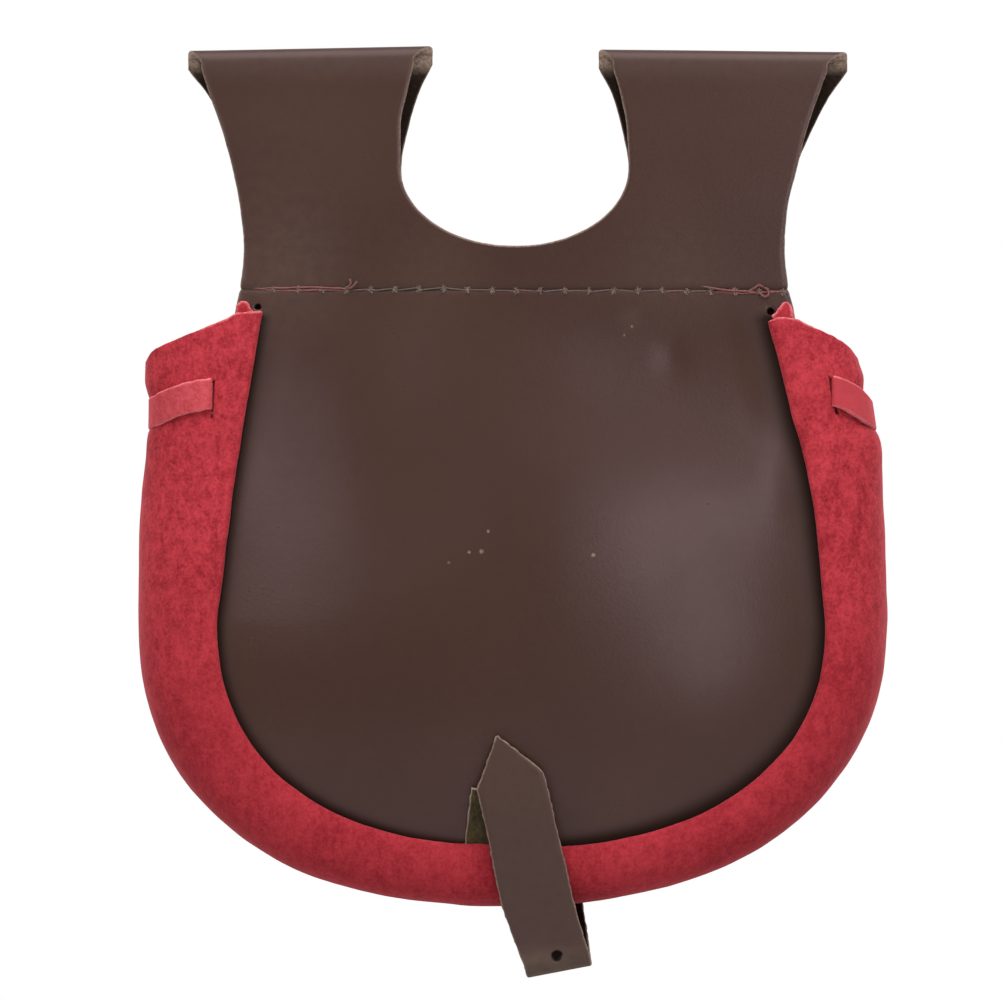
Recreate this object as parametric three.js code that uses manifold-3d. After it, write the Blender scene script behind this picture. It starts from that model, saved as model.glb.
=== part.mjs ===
// A belt pouch: a back of smooth brown leather with two folded belt loops, a red suede bag sewn round it
// with a turned seam, a drawstring, a front flap and a closing strap that comes up over the back.
// Millimetres, +Z up. The leather back faces -Y and the bag swells towards +Y. The origin is where the
// upper edge of a belt bears in the loops, midway between them.
import * as THREE from "three";
import { mergeVertices } from "three/addons/utils/BufferGeometryUtils.js";
import Module from "manifold-3d";

const wasm = await Module();
wasm.setup();

// Thicknesses, and the gap left where two pieces lie together
const LEATHER = 2.2;
const SUEDE = 1.3;
const LACE_THICK = 1.3;
const LACE_WIDTH = 7.5;
const TAB_THICK = 1.6;
const SEAT = 0.3;

// Belt loops: room for the belt, and the rounded notch between the two loops
const BELT_ROOM = 5;
const RIGHT_LOOP_DROP = 0.7;
const LAYER = (BELT_ROOM + LEATHER) / 2;
const FOLD_TOP = LEATHER / 2;
const FOLD_START = FOLD_TOP - LAYER;
const CLOSED_LAYER = (LEATHER + SEAT) / 2;
const TUNNEL_FLOOR = -46;
const NOTCH_SIDE = -28;
const NOTCH_FLOOR = -48;
const SEAM = -58.5;
const LAYERS_MEET = -57;
const LOOP_END = -64.5;

// Heights of the back and the bag
const MOUTH_BACK = -63;
const MOUTH_SIDE = -73;
const MOUTH_FRONT = -80;
const WAIST = -141;
const SEAM_FLOOR = -198;
const PANEL_FLOOR = -201.5;
const BAG_FLOOR = -211.9;
const CORNER = 2.3;
const BAG_CORNER = { left: 2.34, right: 2.2 };

// Swell of the back, and the suede border that rolls over its edge
const PANEL_SWELL = 5;
const SWELL_FULLNESS = 0.75;
const BORDER_RISE = 2.2;
const LIP_DROP = 1;
const LIP_WIDTH = 3;
const FLOOR_DEPTH = 8;
const FLOOR_ROUND = 2.6;
const BORDER_ROUND = 2.2;
const FLOOR_BORDER_ROUND = 3.2;
const FRONT_ROUND = 2.6;

// Gathers of the mouth: their height, their number on each half of the front, and how far down they run
const GATHER = 2;
const GATHERS = 3;
const GATHER_FLOOR = -130;
const GATHER_TOP = -90;
const GATHER_FADE = 1.5;

// Drawstring: height where it leaves the bag, at the sides and in front, and the slits it runs through
const LACE_BACK = -82;
const LACE_SIDE = -91;
const LACE_FRONT = -94;
const LACE_STAND = 0.76;
const TAIL_STAND = 0.7;
const SLIT_LENGTH = 4.2;
const SLIT_ROOM = 1.4;
const SLIT_HEIGHT = LACE_WIDTH + SLIT_ROOM;
const BACK_SLIT = { left: 75.5, right: 79, z: -85.15 };
const FRONT_SLITS = [0.36, 0.5, 0.66, 0.84];

// Front flap
const FLAP_TOP = -56;
const FLAP_BEND = -57;
const FLAP_DROP = 26;
const FLAP_WAIST = -98;
const FLAP_FLOOR = -146;

// Closing strap and its tab
const STRAP_WIDTH = 17.8;
const STRAP_POINT = 11.2;
const STRAP_TIP = 0.05;
const STRAP_HOLE = 3;
const HOLE_HEIGHT = -223.6;
const TAB_WIDTH = 16.6;
const STITCH_HOLE = 1.7;
const STITCH_HOLES = [{ x: -64.2, z: -63 }, { x: 63.8, z: -64 }];

// How finely the faces are laid: columns across, stations along, and sides of the round holes
const LOOP_COLUMNS = 8;
const FOLD_ROWS = 8;
const NOTCH_ROWS = 8;
const PANEL_FLOOR_ROWS = 9;
const BAG_COLUMNS = 18;
const BAG_FLOOR_ROWS = 8;
const BAG_POLE_ROWS = 5;
const FLAP_COLUMNS = 14;
const FLAP_FLOOR_ROWS = 9;
const STRAP_ROWS = 68;
const TAB_ROWS = 10;
const HOLE_SIDES = 16;
const STITCH_HOLE_SIDES = 10;

// Rounded outlines stop at this share of their turn, and punches are this long
const FLOOR_STOP = 0.93;
const PUNCH_LENGTH = 5;

// Outer edges of the back and of the near layer of its loops, as distances from the middle
const NEAR_EDGES = [
  { z: FOLD_START, left: 78.3, right: 78 },
  { z: -9, left: 76.2, right: 75.6 },
  { z: -18, left: 73.1, right: 72.7 },
  { z: NOTCH_SIDE, left: 70.5, right: 70.3 },
  { z: -38, left: 68.6, right: 68 },
  { z: NOTCH_FLOOR, left: 67.7, right: 67.3 },
  { z: SEAM, left: 69.2, right: 68.5 },
  { z: MOUTH_BACK, left: 70.5, right: 69.7 },
  { z: -75, left: 71.2, right: 71 },
  { z: -90, left: 73.2, right: 74.4 },
  { z: -115, left: 77, right: 80 },
  { z: WAIST, left: 80, right: 83.2 },
];

// Inner edges of the near layer, down to the notch between the loops
const NOTCH_EDGES = [
  { z: FOLD_START, left: 25.3, right: 24.4 },
  { z: -9, left: 26.9, right: 26.3 },
  { z: -18, left: 28.6, right: 27.9 },
  { z: NOTCH_SIDE, left: 28.6, right: 28.3 },
  { z: NOTCH_FLOOR, left: 28.6, right: 28.3 },
];

// Edges of the far layer of the loops, which is widest just past the fold
const FAR_EDGES = [
  { z: FOLD_START, outerLeft: 81.6, innerLeft: 20.6, innerRight: 20.9, outerRight: 83 },
  { z: -9, outerLeft: 77, innerLeft: 23.9, innerRight: 24.3, outerRight: 79 },
  { z: -18, outerLeft: 73, innerLeft: 26.6, innerRight: 26.8, outerRight: 74.4 },
  { z: NOTCH_SIDE, outerLeft: 70.3, innerLeft: 28.4, innerRight: 28.4, outerRight: 70.3 },
  { z: TUNNEL_FLOOR, outerLeft: 67.6, innerLeft: 27, innerRight: 27, outerRight: 67.2 },
  { z: LOOP_END, outerLeft: 67.8, innerLeft: 26, innerRight: 26, outerRight: 67.4 },
];

// The visible seam between the back and the suede border, down to the waist
const SEAM_EDGES = [
  { z: MOUTH_BACK, left: 63, right: 63.5 },
  { z: -86, left: 67.2, right: 68.6 },
  { z: -111, left: 71.2, right: 74.6 },
  { z: WAIST, left: 74.7, right: 78 },
];

// Sections of the bag: half widths down to the waist, where the widest line lies, and how far it swells
const BAG_SECTIONS = [
  { z: MOUTH_BACK, left: 92.2, right: 84.3, side: 6, depth: 17.5 },
  { z: MOUTH_SIDE, left: 92.2, right: 85, side: 6.5, depth: 21.5 },
  { z: -81, left: 92.2, right: 87.4, side: 7, depth: 24.5 },
  { z: -86, left: 90.8, right: 87.6, side: 7.5, depth: 26.4 },
  { z: -91, left: 90, right: 88.4, side: 8, depth: 28 },
  { z: -96, left: 90.2, right: 90.4, side: 8.5, depth: 29.6 },
  { z: -100, left: 91.4, right: 91.7, side: 9, depth: 30.7 },
  { z: -109, left: 93.4, right: 91.9, side: 10, depth: 33.2 },
  { z: -121, left: 94.2, right: 92.5, side: 11, depth: 36 },
  { z: WAIST, left: 94.2, right: 93, side: 12, depth: 39 },
  { z: -165, left: 94.2, right: 93, side: 12, depth: 40 },
  { z: -185, left: 94.2, right: 93, side: 11, depth: 35.5 },
  { z: SEAM_FLOOR, left: 94.2, right: 93, side: 9.5, depth: 28 },
  { z: -206, left: 94.2, right: 93, side: 8.5, depth: 20.5 },
  { z: -211, left: 94.2, right: 93, side: FLOOR_DEPTH, depth: 13 },
  { z: BAG_FLOOR, left: 94.2, right: 93, side: FLOOR_DEPTH, depth: FLOOR_DEPTH },
];

// The flap: half width, and how far it stands off the suede
const FLAP_SECTIONS = [
  { z: FLAP_TOP, half: 65.5, off: 8 },
  { z: -64, half: 67, off: 8 },
  { z: -80, half: 70, off: 8 },
  { z: FLAP_WAIST, half: 71, off: 7 },
  { z: -120, half: 71, off: 5.6 },
  { z: FLAP_FLOOR, half: 71, off: 3.6 },
];

// The closing strap from its end on the flap, under the bag and up the back; lean turns it across the bag
const STRAP_STATIONS = [
  { x: 0, y: 42.8, z: -112, lean: 0 },
  { x: 0, y: 45.3, z: -130, lean: 0 },
  { x: 0.4, y: 46.3, z: -146, lean: 2 },
  { x: 1.4, y: 45.6, z: -160, lean: 4 },
  { x: 2.9, y: 42.6, z: -175, lean: 6 },
  { x: 4.7, y: 36.6, z: -190, lean: 7 },
  { x: 6.7, y: 27, z: -205, lean: 8 },
  { x: 8.5, y: 15.5, z: -217, lean: 9 },
  { x: 9.5, y: 7.5, z: -224, lean: 10 },
  { x: 9.9, y: 3, z: -226.7, lean: 10.5 },
  { x: 10.1, y: -0.6, z: -227.4, lean: 11 },
  { x: 9.8, y: -3.2, z: -225.2, lean: 12 },
  { x: 9, y: -4.1, z: -221.5, lean: 13.5 },
  { x: 6.7, y: -6, z: -211.5, lean: 15 },
  { x: 3.9, y: -7.6, z: -200.5, lean: 15 },
  { x: 1, y: -9.2, z: -188.5, lean: 15 },
  { x: -1.8, y: -10, z: -178, lean: 15 },
  { x: -4.2, y: -10, z: -169.6, lean: 15 },
];

// The tab from just above the bottom seam to the strap's back
const TAB_STATIONS = [
  { x: -4, y: -4.2, z: -196, lean: -6 },
  { x: -3.6, y: -5.1, z: -193, lean: -6 },
  { x: -3, y: -6.4, z: -187.5, lean: -6 },
  { x: -2.4, y: -7.4, z: -182, lean: -6 },
  { x: -1.9, y: -7.6, z: -177, lean: -6 },
];

// Each tail of the drawstring, from where it comes out of its last slit to its end under the flap
const LACE_TAIL = [
  { x: 24, z: -94.2 },
  { x: 17, z: -95.6 },
  { x: 12, z: -99 },
  { x: 9.2, z: -104 },
  { x: 8.4, z: -111 },
  { x: 8.2, z: -119 },
  { x: 8.2, z: -128 },
];

// Heights of the rows of the back, of the far layer of the loops and of the flap's upper part
const PANEL_HEIGHTS = [-126, -110, -95, -82, -72, -65, -61, SEAM, -54.5, -51, NOTCH_FLOOR];
const LOOP_HEIGHTS = [-20, -11];
const FAR_HEIGHTS = [-11, -20, NOTCH_SIDE, -37, TUNNEL_FLOOR, -49, -52, -55.5, SEAM, LOOP_END];
const FLAP_HEIGHTS = [FLAP_TOP, -58, -60.5, -63, -66.5, -70, -74, -78, -83, -90];

const smooth = (t) => THREE.MathUtils.smoothstep(t, 0, 1);
const lerp = THREE.MathUtils.lerp;
const steps = (count) => Array.from({ length: count + 1 }, (_, index) => index / count);

// A smooth curve through one column of a table, without overshoot, as a function of another column
function through(rows, column, along = "z") {
  const knots = rows.map((row) => ({ at: row[along], value: row[column] })).sort((a, b) => a.at - b.at);
  const last = knots.length - 1;
  const rise = (i) => (knots[i + 1].value - knots[i].value) / (knots[i + 1].at - knots[i].at);
  const slopes = knots.map((_, i) => {
    if (i === 0) return rise(0);
    if (i === last) return rise(last - 1);
    const product = rise(i - 1) * rise(i);
    return product <= 0 ? 0 : (2 * product) / (rise(i - 1) + rise(i));
  });
  return (at) => {
    const place = THREE.MathUtils.clamp(at, knots[0].at, knots[last].at);
    const found = knots.findIndex((knot) => knot.at >= place);
    const i = Math.max(found - 1, 0);
    const span = knots[i + 1].at - knots[i].at;
    const t = (place - knots[i].at) / span;
    const start = knots[i].value * (1 + 2 * t) * (1 - t) ** 2 + slopes[i] * span * t * (1 - t) ** 2;
    const end = knots[i + 1].value * t * t * (3 - 2 * t) + slopes[i + 1] * span * t * t * (t - 1);
    return start + end;
  };
}

// How much of its width a rounded outline keeps at a height between its widest line and its floor
function rounded(z, widest, floor, corner = CORNER) {
  const drop = THREE.MathUtils.clamp((widest - z) / (widest - floor), 0, 1);
  return (1 - drop ** corner) ** (1 / corner);
}

// Heights down a rounded outline, close together where it turns
function roundedHeights(count, widest, floor, last = 1) {
  const drop = (t) => Math.sin((t * last * Math.PI) / 2) ** (2 / CORNER);
  return steps(count).map((t) => lerp(widest, floor, drop(t)));
}

// An open sheet of points and faces, given a thickness to either side to make one closed solid
class Sheet {
  points = [];
  faces = [];

  point(x, y, z) {
    this.points.push(new THREE.Vector3(x, y, z));
    return this.points.length - 1;
  }

  quad(a, b, c, d) {
    const diagonals = [[a, c], [b, d]].map(([p, q]) => this.points[p].distanceTo(this.points[q]));
    const halves = diagonals[0] <= diagonals[1] ? [[a, b, c], [a, c, d]] : [[a, b, d], [b, c, d]];
    for (const half of halves) {
      if (new Set(half).size === 3) this.faces.push(half);
    }
  }

  thickened(thickness) {
    const normals = this.points.map(() => new THREE.Vector3());
    for (const [a, b, c] of this.faces) {
      const edge = this.points[b].clone().sub(this.points[a]);
      const normal = edge.cross(this.points[c].clone().sub(this.points[a]));
      for (const corner of [a, b, c]) normals[corner].add(normal);
    }
    const count = this.points.length;
    const moved = (reach) => this.points.map((point, i) => {
      return point.clone().addScaledVector(normals[i].normalize(), reach);
    });
    const index = [];
    const edges = new Set();
    for (const [a, b, c] of this.faces) {
      index.push(a, b, c, a + count, c + count, b + count);
      for (const edge of [`${a} ${b}`, `${b} ${c}`, `${c} ${a}`]) edges.add(edge);
    }
    for (const edge of edges) {
      const [a, b] = edge.split(" ").map(Number);
      if (!edges.has(`${b} ${a}`)) index.push(b, a, a + count, b, a + count, b + count);
    }
    const points = [...moved(thickness / 2), ...moved(-thickness / 2)];
    const geometry = new THREE.BufferGeometry().setFromPoints(points);
    geometry.setIndex(index);
    return geometry;
  }
}

// Joining and cutting of closed meshes
function solidOf(geometry) {
  const plain = geometry.clone();
  plain.deleteAttribute("normal");
  plain.deleteAttribute("uv");
  const merged = mergeVertices(plain, 1e-4);
  const vertProperties = new Float32Array(merged.attributes.position.array);
  const triVerts = new Uint32Array(merged.index.array);
  return new wasm.Manifold(new wasm.Mesh({ numProp: 3, vertProperties, triVerts }));
}

function cut(geometry, cutters) {
  const left = cutters.reduce((solid, cutter) => solid.subtract(solidOf(cutter)), solidOf(geometry));
  const mesh = left.getMesh();
  const made = new THREE.BufferGeometry();
  made.setAttribute("position", new THREE.BufferAttribute(new Float32Array(mesh.vertProperties), 3));
  made.setIndex(new THREE.BufferAttribute(new Uint32Array(mesh.triVerts), 1));
  return made;
}

// A tool laid at a place, with its own Z along the normal and its own Y along the upright
function laid(geometry, at, normal, upright) {
  const across = upright.clone().cross(normal).normalize();
  const up = normal.clone().cross(across);
  const matrix = new THREE.Matrix4().makeBasis(across, up, normal.clone().normalize());
  return geometry.applyMatrix4(matrix.setPosition(at));
}

// The back with its loops
const nearEdge = {
  outerLeft: through(NEAR_EDGES, "left"),
  innerLeft: through(NOTCH_EDGES, "left"),
  innerRight: through(NOTCH_EDGES, "right"),
  outerRight: through(NEAR_EDGES, "right"),
};
const farEdge = {
  outerLeft: through(FAR_EDGES, "outerLeft"),
  innerLeft: through(FAR_EDGES, "innerLeft"),
  innerRight: through(FAR_EDGES, "innerRight"),
  outerRight: through(FAR_EDGES, "outerRight"),
};
const seamEdge = { left: through(SEAM_EDGES, "left"), right: through(SEAM_EDGES, "right") };

function seamHalf(side, z) {
  return seamEdge[side](z) * rounded(z, WAIST, SEAM_FLOOR);
}

// How far the back stands towards -Y at a place on it
function panelSwell(x, z) {
  const half = seamHalf(x < 0 ? "left" : "right", z);
  const down = THREE.MathUtils.clamp((z - MOUTH_BACK) / (SEAM_FLOOR - MOUTH_BACK), 0, 1);
  const across = half > 0 ? Math.max(1 - (x / half) ** 2, 0) : 0;
  return PANEL_SWELL * across * (4 * down * (1 - down)) ** SWELL_FULLNESS;
}

// The loops' layers lie apart round the belt and come together at the seam
function layerOffset(z) {
  return lerp(LAYER, CLOSED_LAYER, smooth((TUNNEL_FLOOR - z) / (TUNNEL_FLOOR - LAYERS_MEET)));
}

function panelRow(z) {
  const keep = rounded(z, WAIST, PANEL_FLOOR);
  return {
    y: -layerOffset(z),
    z,
    outerLeft: nearEdge.outerLeft(z) * keep,
    innerLeft: 0,
    innerRight: 0,
    outerRight: nearEdge.outerRight(z) * keep,
    split: false,
  };
}

function nearLoopRow(z) {
  const arch = z < NOTCH_SIDE ? Math.sqrt(1 - ((NOTCH_SIDE - z) / (NOTCH_SIDE - NOTCH_FLOOR)) ** 2) : 1;
  return {
    y: -layerOffset(z),
    z,
    outerLeft: nearEdge.outerLeft(z),
    innerLeft: nearEdge.innerLeft(z) * arch,
    innerRight: nearEdge.innerRight(z) * arch,
    outerRight: nearEdge.outerRight(z),
    split: true,
  };
}

function foldRow(t) {
  const turn = t * Math.PI;
  const blend = (name) => lerp(nearEdge[name](FOLD_START), farEdge[name](FOLD_START), t);
  return {
    y: -LAYER * Math.cos(turn),
    z: FOLD_START + LAYER * Math.sin(turn),
    outerLeft: blend("outerLeft"),
    innerLeft: blend("innerLeft"),
    innerRight: blend("innerRight"),
    outerRight: blend("outerRight"),
    split: true,
  };
}

function farLoopRow(z) {
  return {
    y: layerOffset(z),
    z,
    outerLeft: farEdge.outerLeft(z),
    innerLeft: farEdge.innerLeft(z),
    innerRight: farEdge.innerRight(z),
    outerRight: farEdge.outerRight(z),
    split: true,
  };
}

function backGeometry() {
  const columns = steps(LOOP_COLUMNS);
  const lower = roundedHeights(PANEL_FLOOR_ROWS, WAIST, PANEL_FLOOR, FLOOR_STOP).reverse();
  const arch = (t) => lerp(NOTCH_SIDE, NOTCH_FLOOR, Math.cos((t * Math.PI) / 2));
  const notch = steps(NOTCH_ROWS).slice(1).map(arch);
  const rows = [
    ...[...lower, ...PANEL_HEIGHTS].map(panelRow),
    ...[...notch, ...LOOP_HEIGHTS].map(nearLoopRow),
    ...steps(FOLD_ROWS).map(foldRow),
    ...FAR_HEIGHTS.map(farLoopRow),
  ];
  const sheet = new Sheet();
  const onPanel = (x, row) => row.y - (row.z < SEAM ? panelSwell(x, row.z) : 0);
  const placed = rows.map((row) => {
    const drop = RIGHT_LOOP_DROP * smooth((row.z - NOTCH_FLOOR) / -NOTCH_FLOOR);
    const spot = (x) => sheet.point(x, onPanel(x, row), row.z - (x > 0 ? drop : 0));
    const left = columns.map((t) => spot(-lerp(row.outerLeft, row.innerLeft, t)));
    const right = columns.map((t) => {
      const shared = t === 0 && !row.split;
      return shared ? left.at(-1) : spot(lerp(row.innerRight, row.outerRight, t));
    });
    return { left, right };
  });
  for (let i = 0; i < placed.length - 1; i += 1) {
    for (const half of ["left", "right"]) {
      const [low, high] = [placed[i][half], placed[i + 1][half]];
      for (let k = 0; k < columns.length - 1; k += 1) sheet.quad(low[k], low[k + 1], high[k + 1], high[k]);
    }
  }
  const drill = STITCH_HOLES.map(({ x, z }) => {
    const pin = new THREE.CylinderGeometry(STITCH_HOLE / 2, STITCH_HOLE / 2, PUNCH_LENGTH, STITCH_HOLE_SIDES);
    return pin.translate(x, -PUNCH_LENGTH / 2, z);
  });
  return cut(sheet.thickened(LEATHER), drill);
}

// The suede bag: a section at any height runs from the seam lip over the rolled border to the widest line,
// then over the front to the middle. Its place u goes from 0 at the lip to 1 in the middle of the front.
const BORDER_SHARE = 0.28;
const BORDER_COLUMNS = [0, 0.05, 0.12, 0.3, 0.55, 0.8];
const PLACE_STEP = 0.004;
const HEIGHT_STEP = 0.5;
const bagWidth = { left: through(BAG_SECTIONS, "left"), right: through(BAG_SECTIONS, "right") };
const bagSide = through(BAG_SECTIONS, "side");
const bagDepth = through(BAG_SECTIONS, "depth");

function bagHalf(side, z) {
  return (bagWidth[side](z) - SUEDE / 2) * rounded(z, WAIST, BAG_FLOOR, BAG_CORNER[side]);
}

function crest(z) {
  const top = -CLOSED_LAYER - LEATHER / 2 - BORDER_RISE;
  const below = THREE.MathUtils.clamp((SEAM_FLOOR - z) / (SEAM_FLOOR - BAG_FLOOR), 0, 1);
  return FLOOR_DEPTH + (top - FLOOR_DEPTH) * (1 - below ** FLOOR_ROUND) ** (1 / FLOOR_ROUND);
}

const borderPart = (u) => Math.min(u / BORDER_SHARE, 1);
const frontPart = (u) => Math.max((u - BORDER_SHARE) / (1 - BORDER_SHARE), 0);
const sineOf = (part, round) => Math.sin((part * Math.PI) / 2) ** (2 / round);
const cosineOf = (part, round) => Math.max(Math.cos((part * Math.PI) / 2), 0) ** (2 / round);

// A line round the bag that dips from the seam to the side and on to the front
function dipping(u, back, side, front) {
  const border = lerp(back, side, sineOf(borderPart(u), BORDER_ROUND));
  return border + (front - side) * Math.sin((frontPart(u) * Math.PI) / 2);
}

const mouthHeight = (u) => dipping(u, MOUTH_BACK, MOUTH_SIDE, MOUTH_FRONT);
const laceHeight = (u) => dipping(u, LACE_BACK, LACE_SIDE, LACE_FRONT);

function plainBagPoint(side, u, z) {
  const sign = side === "left" ? -1 : 1;
  const lip = seamHalf(side, z);
  const half = bagHalf(side, z);
  if (frontPart(u) > 0) {
    const x = half * cosineOf(frontPart(u), FRONT_ROUND);
    const y = lerp(bagSide(z), bagDepth(z), sineOf(frontPart(u), FRONT_ROUND));
    return new THREE.Vector3(sign * x, y, z);
  }
  const round = lerp(BORDER_ROUND, FLOOR_BORDER_ROUND, smooth((WAIST - z) / (WAIST - SEAM_FLOOR)));
  const out = (half - lip) * sineOf(borderPart(u), round);
  const rolled = LIP_DROP * (1 - smooth(out / LIP_WIDTH)) * smooth((z - SEAM_FLOOR) / 2 + 1);
  const y = lerp(bagSide(z), crest(z), cosineOf(borderPart(u), round)) + rolled;
  return new THREE.Vector3(sign * (lip + out), y, z);
}

// The way out of the bag's wall in its section
function sectionNormal(side, u, z) {
  const ahead = plainBagPoint(side, Math.min(u + PLACE_STEP, 1), z);
  const along = ahead.sub(plainBagPoint(side, Math.max(u - PLACE_STEP, 0), z)).normalize();
  const sign = side === "left" ? -1 : 1;
  return new THREE.Vector3(sign * along.y, -sign * along.x, 0);
}

function bagPoint(side, u, z) {
  const part = frontPart(u);
  const height = GATHER * smooth((z - GATHER_FLOOR) / (GATHER_TOP - GATHER_FLOOR));
  const fade = Math.sin((part * Math.PI) / 2) ** GATHER_FADE;
  const wave = Math.cos(2 * Math.PI * GATHERS * (1 - part)) * fade;
  return plainBagPoint(side, u, z).addScaledVector(sectionNormal(side, u, z), height * wave);
}

function bagNormal(side, u, z) {
  const ahead = bagPoint(side, Math.min(u + PLACE_STEP, 1), z);
  const along = ahead.sub(bagPoint(side, Math.max(u - PLACE_STEP, 0), z));
  const down = bagPoint(side, u, z - HEIGHT_STEP).sub(bagPoint(side, u, z + HEIGHT_STEP));
  const normal = along.cross(down).normalize();
  return normal.dot(sectionNormal(side, u, z)) < 0 ? normal.negate() : normal;
}

// The place on the front at a distance from the middle
function frontPlace(side, x, z) {
  const share = Math.min(Math.abs(x) / bagHalf(side, z), 1);
  return BORDER_SHARE + (1 - BORDER_SHARE) * (Math.acos(share ** (FRONT_ROUND / 2)) / (Math.PI / 2));
}

// The place on the border at a distance from the middle
function borderPlace(side, x, z) {
  const lip = seamHalf(side, z);
  const share = (x - lip) / (bagHalf(side, z) - lip);
  return BORDER_SHARE * (Math.asin(share ** (BORDER_ROUND / 2)) / (Math.PI / 2));
}

const places = [
  ...BORDER_COLUMNS.map((part) => part * BORDER_SHARE),
  ...steps(BAG_COLUMNS).map((part) => BORDER_SHARE + part * (1 - BORDER_SHARE)),
];

const slitPlaces = (side) => [
  borderPlace(side, BACK_SLIT[side], BACK_SLIT.z),
  ...FRONT_SLITS.map((part) => BORDER_SHARE + part * (1 - BORDER_SHARE)),
];

// Rows of the bag: shares of the way from the mouth to the lace, then from the lace to level rows
const MOUTH_ROWS = [0, 0.4, 0.75, 1];
const LACE_ROWS = [0.25, 0.55, 1];
const LEVEL_TOP = -118;

function bagGeometry() {
  const sheet = new Sheet();
  const gathered = (u) => [
    ...MOUTH_ROWS.map((t) => lerp(mouthHeight(u), laceHeight(u), t)),
    ...LACE_ROWS.map((t) => lerp(laceHeight(u), LEVEL_TOP, t)),
  ];
  const turn = (t) => lerp(SEAM_FLOOR, BAG_FLOOR, Math.sin((t * Math.PI) / 2));
  const lower = [
    GATHER_FLOOR,
    ...roundedHeights(BAG_FLOOR_ROWS, WAIST, SEAM_FLOOR),
    ...steps(BAG_POLE_ROWS).slice(1, -1).map(turn),
  ];
  const rowCount = gathered(0).length + lower.length;
  const rows = Array.from({ length: rowCount }, (_, i) => {
    const spot = (side, u) => {
      const z = i < rowCount - lower.length ? gathered(u)[i] : lower[i - (rowCount - lower.length)];
      const at = bagPoint(side, u, z);
      return { index: sheet.point(at.x, at.y, at.z), z };
    };
    const left = places.map((u) => spot("left", u));
    const right = places.slice(0, -1).reverse().map((u) => spot("right", u));
    const closed = left[0].z <= SEAM_FLOOR + 1e-6;
    const row = [...left, ...right].map(({ index }) => index);
    if (closed) row[row.length - 1] = row[0];
    return row;
  });
  for (let i = 0; i < rows.length - 1; i += 1) {
    for (let k = 0; k < rows[i].length - 1; k += 1) {
      sheet.quad(rows[i][k], rows[i][k + 1], rows[i + 1][k + 1], rows[i + 1][k]);
    }
  }
  const last = rows.at(-1);
  const pole = sheet.point(0, FLOOR_DEPTH, BAG_FLOOR);
  for (let k = 0; k < last.length - 1; k += 1) sheet.faces.push([last[k], last[k + 1], pole]);
  const slits = ["left", "right"].flatMap((side) => slitPlaces(side).map((u) => {
    const z = laceHeight(u);
    const box = new THREE.BoxGeometry(SLIT_LENGTH, SLIT_HEIGHT, PUNCH_LENGTH);
    return laid(box, bagPoint(side, u, z), bagNormal(side, u, z), new THREE.Vector3(0, 0, 1));
  }));
  return cut(dropUnused(sheet).thickened(SUEDE), slits);
}

// A sheet without the points that no face uses
function dropUnused(sheet) {
  const kept = new Sheet();
  const places = new Map();
  const moved = (i) => {
    if (!places.has(i)) places.set(i, kept.point(...sheet.points[i].toArray()));
    return places.get(i);
  };
  kept.faces = sheet.faces.map((face) => face.map(moved));
  return kept;
}

// A flat band laid along stations, each with a place, a direction across and a half width
function band(stations, thickness) {
  const sheet = new Sheet();
  const rows = stations.map(({ at, across, half }) => [-half, half].map((reach) => {
    const spot = at.clone().addScaledVector(across, reach);
    return sheet.point(spot.x, spot.y, spot.z);
  }));
  for (let i = 0; i < rows.length - 1; i += 1) {
    sheet.quad(rows[i][0], rows[i][1], rows[i + 1][1], rows[i + 1][0]);
  }
  return sheet.thickened(thickness);
}

// The drawstring inside the back: shares of the way to the back's edge, and its places at the first slit,
// out from the edge and from the suede wall
const INSIDE_SHARES = [0.1, 0.28, 0.46, 0.64, 0.82, 0.97];
const PAST_EDGE = { out: 1.3, towardsBack: 0.3 };
const BEHIND_SLIT = { inwards: 0.7, towardsFront: 1.5 };
const BEFORE_SLIT = { outwards: 0.5, towardsBack: 0.9 };

// The drawstring along the wall: how finely it is measured, how it is stepped, and its way through a slit
const RUN_SAMPLES = 700;
const RUN_START = 1.6;
const RUN_PAST_SLIT = 0.018;
const WIDE_STEP = 2.7;
const SLIT_STEP = 0.5;
const SLIT_NEAR = 2.2;
const SLIT_PASSAGE = 2.4;

function laceInside(side) {
  const sign = side === "left" ? -1 : 1;
  const start = slitPlaces(side)[0];
  const z = laceHeight(start);
  const y = -CLOSED_LAYER + LEATHER / 2 + LACE_STAND + LACE_THICK / 2;
  const edge = nearEdge[side === "left" ? "outerLeft" : "outerRight"](z);
  const wall = bagPoint(side, start, z);
  const places = [
    ...INSIDE_SHARES.map((share) => new THREE.Vector3(sign * edge * share, y, z)),
    new THREE.Vector3(sign * (edge + PAST_EDGE.out), y - PAST_EDGE.towardsBack, z),
    new THREE.Vector3(wall.x - sign * BEHIND_SLIT.inwards, wall.y + BEHIND_SLIT.towardsFront, z),
    new THREE.Vector3(wall.x + sign * BEFORE_SLIT.outwards, wall.y - BEFORE_SLIT.towardsBack, z),
  ];
  return places.map((at) => ({ at, normal: new THREE.Vector3(0, -1, 0) }));
}

// A place of the drawstring off the suede, out of the wall or in from it
function offWall(side, u, z, reach) {
  const normal = bagNormal(side, u, z);
  return { at: bagPoint(side, u, z).addScaledVector(normal, reach), normal };
}

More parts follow.
